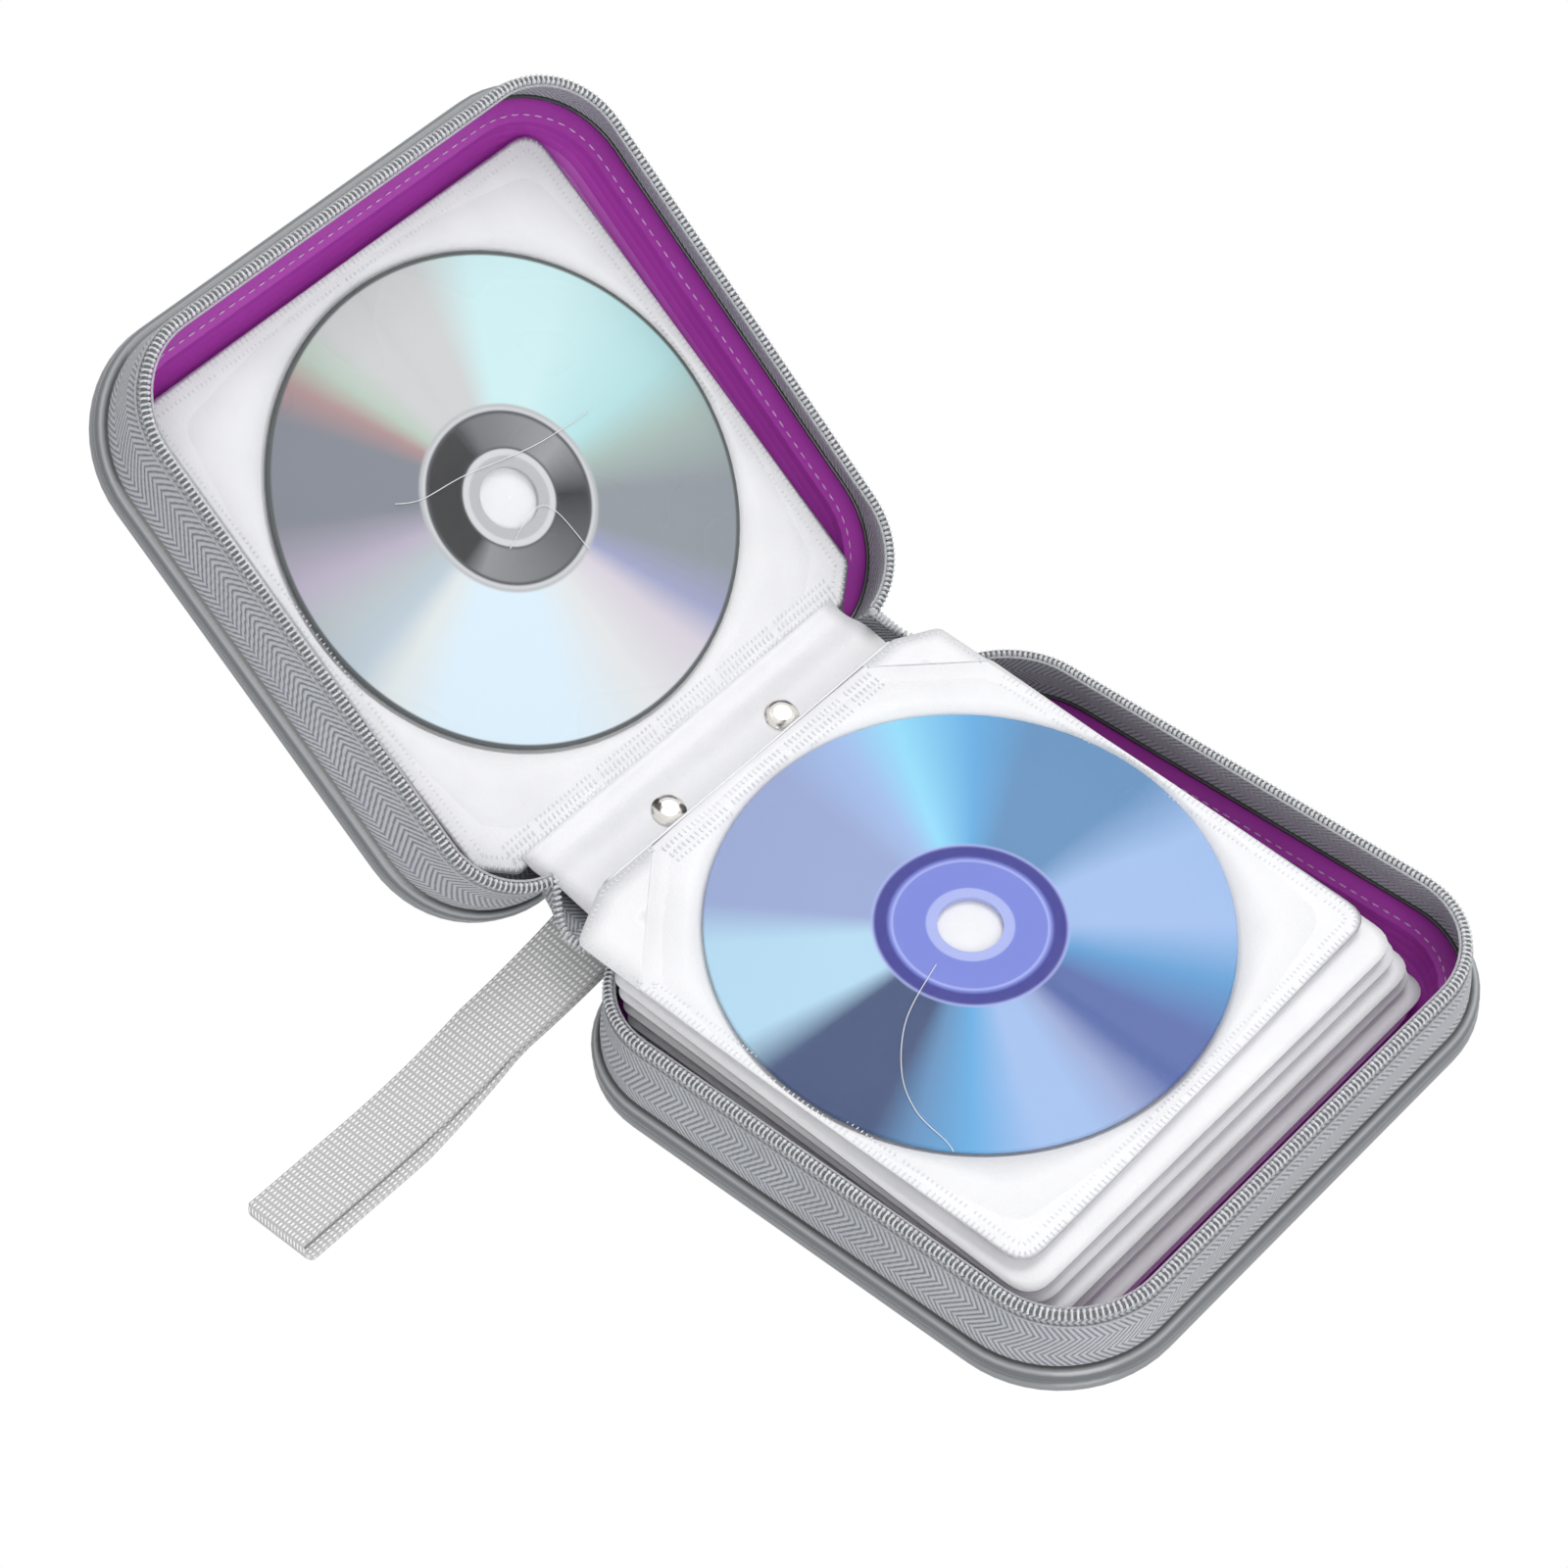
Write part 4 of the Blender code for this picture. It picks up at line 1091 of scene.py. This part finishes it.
def build_film_edges(side):
    """The curved slit edges of the clear window, as they lie over the disc."""
    matrix = pocket_frame(side)
    sign = COVERS[side][0]
    for number, arc in enumerate(SLIT_EDGES[side]):
        points = [Vector((sign * x, sign * y, SLIT_EDGE_LIFT)) for x, y in arc]
        name = "%s_slit_edge_%d" % (side, number + 1)
        line = [matrix @ point for point in smooth_line(points)]
        add_object(name, tube_mesh(name, line, SLIT_EDGE_RADIUS, 6), "film", side)


def build_lower_sleeve(side, index, node):
    """A filled sleeve: two films that are welded at the edge and part over the disc."""
    sign, to_world = COVERS[side]
    verts = [to_world.inverted() @ v.co for v in frame["nodes"][node].data.vertices]
    xs = [sign * v.x for v in verts]
    ys = [v.y for v in verts]
    inner, solid_outer = min(xs), max(xs)
    outer = solid_outer + SLEEVE_SPREAD[index]
    at_outer = max(v.z for v in verts if sign * v.x > solid_outer - SLEEVE_END_BAND)
    at_inner = max(v.z for v in verts if sign * v.x < inner + SLEEVE_END_BAND)
    slope = (at_inner - at_outer) / (outer - inner)
    corner = LOWEST_SLEEVE_CORNER if index == 0 else SLEEVE_CORNER
    centre_x, centre_y = (inner + outer) / 2, (min(ys) + max(ys)) / 2
    half_x, half_y = (outer - inner) / 2 - SLEEVE_INSET, (max(ys) - min(ys)) / 2 - SLEEVE_INSET
    tip, back_off = SLEEVE_TAPER
    outline = rounded_polygon([
        (-half_x - tip, -half_y + back_off, TIP_CORNER), (-half_x, -half_y, TIP_CORNER),
        (half_x, -half_y, corner), (half_x, half_y, corner),
        (-half_x, half_y, TIP_CORNER), (-half_x - tip, half_y - back_off, TIP_CORNER),
    ])
    rows = []
    for share, drop in SLEEVE_PROFILE:
        row = []
        for point in outline:
            x, y = point.x * share, point.y * share
            along = centre_x + x
            wave = ripple(x + index * 0.031, y - index * 0.017, 0.00022) * max(share - 0.8, 0) * 4
            height = at_outer + slope * (outer - along) + drop - 0.0002 + wave
            row.append(to_world @ Vector((sign * along, centre_y + y, height)))
        rows.append(row)
    sleeve = add_object(node + "_film", closed_mesh(node + "_film", rows), "film", side)
    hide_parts(node)
    return inner, at_inner, centre_y


def strip_mesh(name, profile, y_low, y_high, wave, steps=24):
    """A film strip: the same cross-section in the XZ plane carried along the spine."""
    rows = []
    for number, (x, z) in enumerate(profile):
        row = []
        for step in range(steps + 1):
            y = y_low + (y_high - y_low) * step / steps
            row.append(Vector((x, y, z + ripple(x * 3, y, wave) * (0 < number < len(profile) - 1))))
        rows.append(row)
    return grid_mesh(name, rows)


def curve_points(start, first, second, end, steps=10):
    """Points of a smooth bend between two places, with two places that it leans to."""
    points = []
    for step in range(steps + 1):
        t = step / steps
        u = 1 - t
        points.append(tuple(
            u ** 3 * a + 3 * u * u * t * b + 3 * u * t * t * c + t ** 3 * d
            for a, b, c, d in zip(start, first, second, end)
        ))
    return points


def bend(*places, steps):
    """Section of a film strip: the curve of four places, seen along the spine."""
    return curve_points(*((place.x, place.z) for place in places), steps)


def build_page_roots():
    """The sleeves' margins that run from each sleeve to the binding on the spine."""
    crease = to_back @ Vector((-0.0012, 0.0, 0.03365))
    below = to_back @ Vector((-0.0042, 0.0, 0.0315))
    lean = to_back @ Vector((-0.0058, 0.0, 0.0220))
    foot = to_spine @ Vector((-0.0052, 0.0, BINDING_TOP + 0.0002))
    profile = bend(crease, below, lean, foot, steps=12)
    mesh = strip_mesh("back_root_top", profile, -0.0515, 0.0440, 0.0001)
    root = add_object("back_root_top", mesh, "film", None)
    solid(root, TOP_ROOT_THICKNESS)
    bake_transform(root)
    for index, (inner, height, centre_y) in enumerate(lower_edges):
        if index < FIRST_ROOT:
            continue
        share = index / len(lower_edges)
        begin = to_back @ Vector((inner + 0.0015, 0.0, height - 0.0016))
        lean = to_back @ Vector((inner - 0.0050, 0.0, height - 0.0010 + 0.002 * share))
        rise = to_spine @ Vector((0.0010, 0.0, BINDING_TOP + 0.0004 + 0.004 * share))
        finish = to_spine @ Vector((-0.0038, 0.0, BINDING_TOP * (0.2 + 0.7 * share)))
        profile = bend(begin, lean, rise, finish, steps=10)
        name = "back_root_%d" % (index + 1)
        mesh = strip_mesh(name, profile, -0.0480 + centre_y, 0.0480, 0.00006)
        root = add_object(name, mesh, "film", None)
        solid(root, ROOT_THICKNESS)
        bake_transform(root)


def build_spine_film():
    """Film of the front page that climbs onto the binding and covers it, up to the crease."""
    frame_matrix = pocket_frame("front")
    low = min(point.x for point in page_outline("front"))
    begin = frame_matrix @ Vector((low + 0.0030, 0.0, -0.0002))
    lean = frame_matrix @ Vector((low - 0.0050, 0.0, -0.0002))
    climb = to_spine @ Vector((-SPINE_SPAN - 0.0040, 0.0, BINDING_TOP + 0.0009))
    top = to_spine @ Vector((-SPINE_SPAN + 0.0020, 0.0, BINDING_TOP + 0.00025))
    profile = bend(begin, lean, climb, top, steps=12)
    for x, z in ((-0.0140, 0.00022), (-0.0090, 0.0002), (-0.0040, 0.00022), (-0.0028, -0.0004)):
        place = to_spine @ Vector((x, 0.0, BINDING_TOP + z))
        profile.append((place.x, place.z))
    mesh = strip_mesh("spine_film", profile, -0.0530, 0.0535, 0.00008)
    film = add_object("spine_film", mesh, "film", None)
    solid(film, ROOT_THICKNESS, offset=-1.0)
    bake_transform(film)
    matrices = []
    for x in (-0.0172, -0.0150):
        line = [to_spine @ Vector((x, y, BINDING_TOP + 0.0003)) for y in (-0.051, 0.0515)]
        matrices += [
            place_matrix(place, along, away_from(to_spine))
            for place, along in in_groups(even_steps(line, WELD_PITCH))
        ]
    mesh = many("spine_welds", (dash_mesh(SPINE_DASH), matrices))
    add_object("spine_welds", mesh, "weld", "spine")


# Zip ends: the tape and teeth that cross the spine at both ends


def build_zip_ends():
    """Tape and teeth from each cover's zip to the middle of the spine, at both ends."""
    for end, way in (("near", -1), ("far", 1)):
        middle = to_spine @ Vector((-SPINE_SPAN / 2, way * ZIP_END_REACH, ZIP_END_HEIGHT))
        foot = to_spine @ Vector((-SPINE_SPAN / 2, way * (CLOTH_WIDTH / 2), 0.0))
        for side, (sign, to_world) in COVERS.items():
            radius = CORNER_RADIUS - COIL_LEAN[side]
            start_x = COIL_INSET_SPINE + radius * (1 - math.cos(ZIP_START_ANGLE))
            start_y = HALF_WIDTH - CORNER_RADIUS + radius * math.sin(ZIP_START_ANGLE)
            begin = to_world @ Vector((sign * start_x, way * start_y, COIL_HEIGHT))
            low = to_world @ Vector((sign * TAPE_BASE_INSET, way * CLOTH_WIDTH / 2, ZIP_END_FOOT))
            dip = begin.lerp(middle, 0.5) + Vector((0.0, way * ZIP_END_LEAN, -ZIP_END_SAG))
            line = [
                Vector(place)
                for place in curve_points(begin, begin.lerp(dip, 0.7), dip, middle, ZIP_END_STEPS)
            ]
            base = [low.lerp(foot, step / ZIP_END_STEPS) for step in range(ZIP_END_STEPS + 1)]
            rows = []
            for level in range(ZIP_END_LEVELS + 1):
                share = level / ZIP_END_LEVELS
                puff = Vector((0.0, way * ZIP_END_PUFF * math.sin(math.pi * share), 0.0))
                rows.append([a.lerp(b, share) + puff for a, b in zip(base, line)])
            name = "%s_%s_end" % (side, end)
            tape = add_object(name + "_tape", grid_mesh(name, rows), "tape", None)
            solid(tape, TAPE_THICKNESS)
            matrices = [
                place_matrix(place, along, Vector((0, way * 0.7, 0.7)))
                for place, along in even_steps(line, TOOTH_PITCH)
            ]
            mesh = many(name + "_teeth", (tooth_mesh(), matrices))
            teeth = add_object(name + "_teeth", mesh, "coil", None)
            for piece in (tape, teeth):
                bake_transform(piece)


def build_cloth_lining():
    """The hinge cloth's tail, which lies inside the front cover along the spine."""
    rows = [
        cover_line("front", [(x, reach * (step / 15 - 1)) for step in range(31)], z)
        for x, z, reach in LINING_PROFILE
    ]
    mesh = grid_mesh("front_cloth_lining", rows)
    lining = add_object("front_cloth_lining", mesh, "cloth", "front")
    solid(lining, LINING_THICKNESS)


# Wrist loop


def strap_middle(share):
    """Middle of the upper ply at a share of its length, and how far it has come down."""
    reach = min(share / STRAP_TOUCHDOWN_SHARE, 1.0)
    drop = 1 - (1 - reach) ** STRAP_DROP_POWER
    x = STRAP_ROOT_X + (STRAP_END_X - STRAP_ROOT_X) * min(2 * reach, 1.0)
    rest = max(share - STRAP_TOUCHDOWN_SHARE, 0.0) / (1 - STRAP_TOUCHDOWN_SHARE)
    y = STRAP_ROOT_Y + (STRAP_TOUCHDOWN_Y - STRAP_ROOT_Y) * reach
    y += (STRAP_END_Y - STRAP_TOUCHDOWN_Y) * rest
    return Vector((x, y, STRAP_ROOT_Z + (STRAP_FLOOR_Z - STRAP_ROOT_Z) * drop)), drop


def build_strap():
    """Two plies of webbing on the solid's path, joined by a fold at the free end."""
    rows = []
    for across in STRAP_ACROSS:
        upper, lower = [], []
        for step in range(STRAP_STEPS + 1):
            share = step / STRAP_STEPS
            middle, drop = strap_middle(share)
            tilt = math.tan(SPINE_TILT) * (1 - drop)
            x = middle.x + across * STRAP_WIDTH / 2
            slid = x + STRAP_PLY_SHIFT * min(max(share - STRAP_SHIFT_START, 0.0) * 3, 1.0)
            upper.append(Vector((x, middle.y, middle.z - x * tilt)))
            lower.append(Vector((slid, middle.y, middle.z - STRAP_SEPARATION - slid * tilt)))
        fold = []
        for step in range(1, STRAP_FOLD_STEPS):
            angle = math.pi * step / STRAP_FOLD_STEPS
            place = upper[-1].lerp(lower[-1], step / STRAP_FOLD_STEPS)
            place.y -= 0.5 * STRAP_SEPARATION * math.sin(angle)
            place.z = upper[-1].z - 0.5 * STRAP_SEPARATION * (1 - math.cos(angle))
            fold.append(place)
        rows.append([to_back @ place for place in upper + fold + lower[::-1]])
    loop = add_object("wrist_loop", grid_mesh("wrist_loop", rows), "webbing", None)
    solid(loop, STRAP_THICKNESS)
    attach(loop, "spine")
    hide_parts("wrist_strap")


# Camera, light and floor


def build_camera():
    camera = bpy.data.cameras.new("photo_camera")
    camera.lens = CAMERA_LENS
    camera.sensor_width = 36.0
    camera.clip_start = 0.05
    camera.dof.use_dof = False
    eye = bpy.data.objects.new("photo_camera", camera)
    bpy.context.scene.collection.objects.link(eye)
    aim = Vector(CAMERA_AIM).normalized()
    right = Vector(CAMERA_RIGHT).normalized()
    up = right.cross(aim).normalized()
    turned = Matrix((right, up, -aim)).transposed().to_4x4()
    eye.matrix_world = Matrix.Translation(CAMERA_PLACE) @ turned
    bpy.context.scene.camera = eye


def add_lamp(name, place, aim):
    lamp = bpy.data.lights.new(name, "AREA")
    lamp.size = LAMP_SIZE
    lamp.energy = LAMP_POWER
    holder = bpy.data.objects.new(name, lamp)
    bpy.context.scene.collection.objects.link(holder)
    holder.location = place
    direction = Vector(aim) - Vector(place)
    holder.rotation_euler = direction.to_track_quat("-Z", "Y").to_euler()


def looked_at(tree):
    """1 for camera, glossy and transmission rays, and 0 for light on its way."""
    path = tree.nodes.new("ShaderNodeLightPath")
    seen = path.outputs["Is Camera Ray"]
    for kind in ("Is Glossy Ray", "Is Transmission Ray"):
        either = tree.nodes.new("ShaderNodeMath")
        either.operation = "MAXIMUM"
        tree.links.new(seen, either.inputs[0])
        tree.links.new(path.outputs[kind], either.inputs[1])
        seen = either.outputs[0]
    return seen


def floor_shader():
    """White to the eye and in reflections, and a plain pale surface to the light."""
    shader = Shader("floor_white", (0.93, 0.93, 0.93), 0.7)
    glow = shader.node("Emission")
    mixer = shader.node("MixShader")
    output = next(node for node in shader.tree.nodes if node.type == "OUTPUT_MATERIAL")
    shader.link(looked_at(shader.tree), mixer.inputs[0])
    shader.link(shader.base.outputs[0], mixer.inputs[1])
    shader.link(glow.outputs[0], mixer.inputs[2])
    shader.link(mixer.outputs[0], output.inputs["Surface"])
    return shader.material


def build_floor():
    mesh = bpy.data.meshes.new("floor")
    plane = bmesh.new()
    bmesh.ops.create_grid(plane, x_segments=2, y_segments=2, size=FLOOR_REACH)
    plane.to_mesh(mesh)
    plane.free()
    mesh.materials.append(floor_shader())
    floor = bpy.data.objects.new("floor", mesh)
    bpy.context.scene.collection.objects.link(floor)
    floor.location.z = -FLOOR_DROP


def build_light():
    """A sky that looks white and lights a little less, and two large soft lamps."""
    world = bpy.data.worlds.new("studio")
    bpy.context.scene.world = world
    world.use_nodes = True
    tree = world.node_tree
    background = tree.nodes["Background"]
    background.inputs["Color"].default_value = (1.0, 1.0, 1.0, 1.0)
    strength = tree.nodes.new("ShaderNodeMapRange")
    strength.inputs["To Min"].default_value = SKY_LIGHT
    tree.links.new(looked_at(tree), strength.inputs["Value"])
    tree.links.new(strength.outputs[0], background.inputs["Strength"])
    for name, (place, aim) in LAMPS.items():
        add_lamp(name, place, aim)
    bpy.context.scene.view_settings.view_transform = "Standard"


def paint_node(name, material):
    data = frame["nodes"][name].data
    data.materials.clear()
    data.materials.append(material)


# Assembly

materials = {
    "vinyl": vinyl_shader(),
    "rim": rim_shader("rim_plain", ((0.0, RIM_GREY), (1.0, RIM_GREY)), 0.01),
    # Upper bead: a dark painted shadow at the tape's foot, a painted highlight along the bead, then
    # painted shade down into the groove.
    "rim_upper": rim_shader("rim_upper", (
        (0.00, (0.01, 0.01, 0.01)), (0.24, (0.01, 0.01, 0.01)), (0.28, (0.13, 0.14, 0.15)),
        (0.36, (0.42, 0.43, 0.45)), (0.43, (0.14, 0.15, 0.16)), (0.60, (0.09, 0.10, 0.11)),
        (0.68, (0.01, 0.01, 0.01)), (1.00, (0.01, 0.01, 0.01)),
    ), 0.0084),
    # Lower bead: painted shade at its top in the groove, a painted highlight, then darker again
    # towards its foot.
    "rim_lower": rim_shader("rim_lower", (
        (0.00, (0.02, 0.02, 0.02)), (0.22, (0.06, 0.06, 0.065)), (0.34, (0.30, 0.31, 0.33)),
        (0.46, (0.17, 0.18, 0.19)), (0.60, (0.05, 0.055, 0.06)), (1.00, (0.10, 0.105, 0.11)),
    ), 0.0078),
    "tape": twill_shader("zip_tape", (0.54, 0.56, 0.60), (0.13, 0.14, 0.16), 0.0016, 0.0050),
    "cloth": twill_shader("hinge_cloth", (0.30, 0.31, 0.33), (0.10, 0.105, 0.12), 0.0012, 0.0030),
    "coil": coil_shader(),
    "tape_edge": thread_shader("tape_edge", (0.30, 0.31, 0.33), (0.50, 0.51, 0.53)),
    "film": film_shader("white_film", (0.86, 0.86, 0.88)),
    "clear": film_shader("clear_film", (0.86, 0.87, 0.90), alpha=0.03, roughness=0.16, emboss=0.1),
    "weld": weld_shader(),
    "nickel": metal_shader("nickel", (0.70, 0.68, 0.64), 0.16),
    "webbing": webbing_shader(),
    "thread": thread_shader("stitch_thread", (0.52, 0.24, 0.52), (0.80, 0.52, 0.78)),
    # Dark core thread: painted shade that shows between the coil's teeth.
    "core_painted_shade": thread_shader("coil_core_painted_shade", (0.06, 0.065, 0.07), (0.16, 0.17, 0.18)),
}
for disc, disc_shader, tilt in (
    ("blue_disc", blue_disc_shader, POCKETS["back"][1]),
    ("silver_disc", silver_disc_shader, COVER_LIFT + POCKETS["front"][1]),
):
    low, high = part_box(disc)
    tangent = (math.cos(tilt), 0.0, -math.sin(tilt))
    materials[disc] = disc_shader((low + high) / 2, tangent, (0, 1, 0))

# The material of each CAD node by the end of its name; every other node is film
NODE_LOOKS = {
    "_shell": "vinyl", "_rim": "rim", "_tape": "tape", "_cloth": "cloth", "_coil": "coil",
    "blue_disc": "blue_disc", "silver_disc": "silver_disc", "wrist_strap": "webbing",
    "rivet_near": "nickel", "rivet_far": "nickel", "zip_slider": "nickel", "zip_pull": "nickel",
}
for node in frame["nodes"]:
    look = next((NODE_LOOKS[ending] for ending in NODE_LOOKS if node.endswith(ending)), "film")
    paint_node(node, materials[look])

for cover in COVERS:
    build_rim(cover)
    build_tape(cover)
    build_coil(cover)
    build_stitches(cover)
    build_page(cover)
    build_film_edges(cover)
lower_edges = [
    build_lower_sleeve("back", index, "back_sleeve_%d" % (index + 1))
    for index in range(len(SLEEVE_SPREAD))
]
build_lower_sleeve("front", 0, "front_sleeve_1")
for flap_name, flap_corners in CORNER_FLAPS.items():
    build_corner_flap(flap_name, flap_corners)
build_page_roots()
build_spine_film()
build_zip_ends()
build_cloth_lining()
build_strap()

build_camera()
build_floor()
build_light()
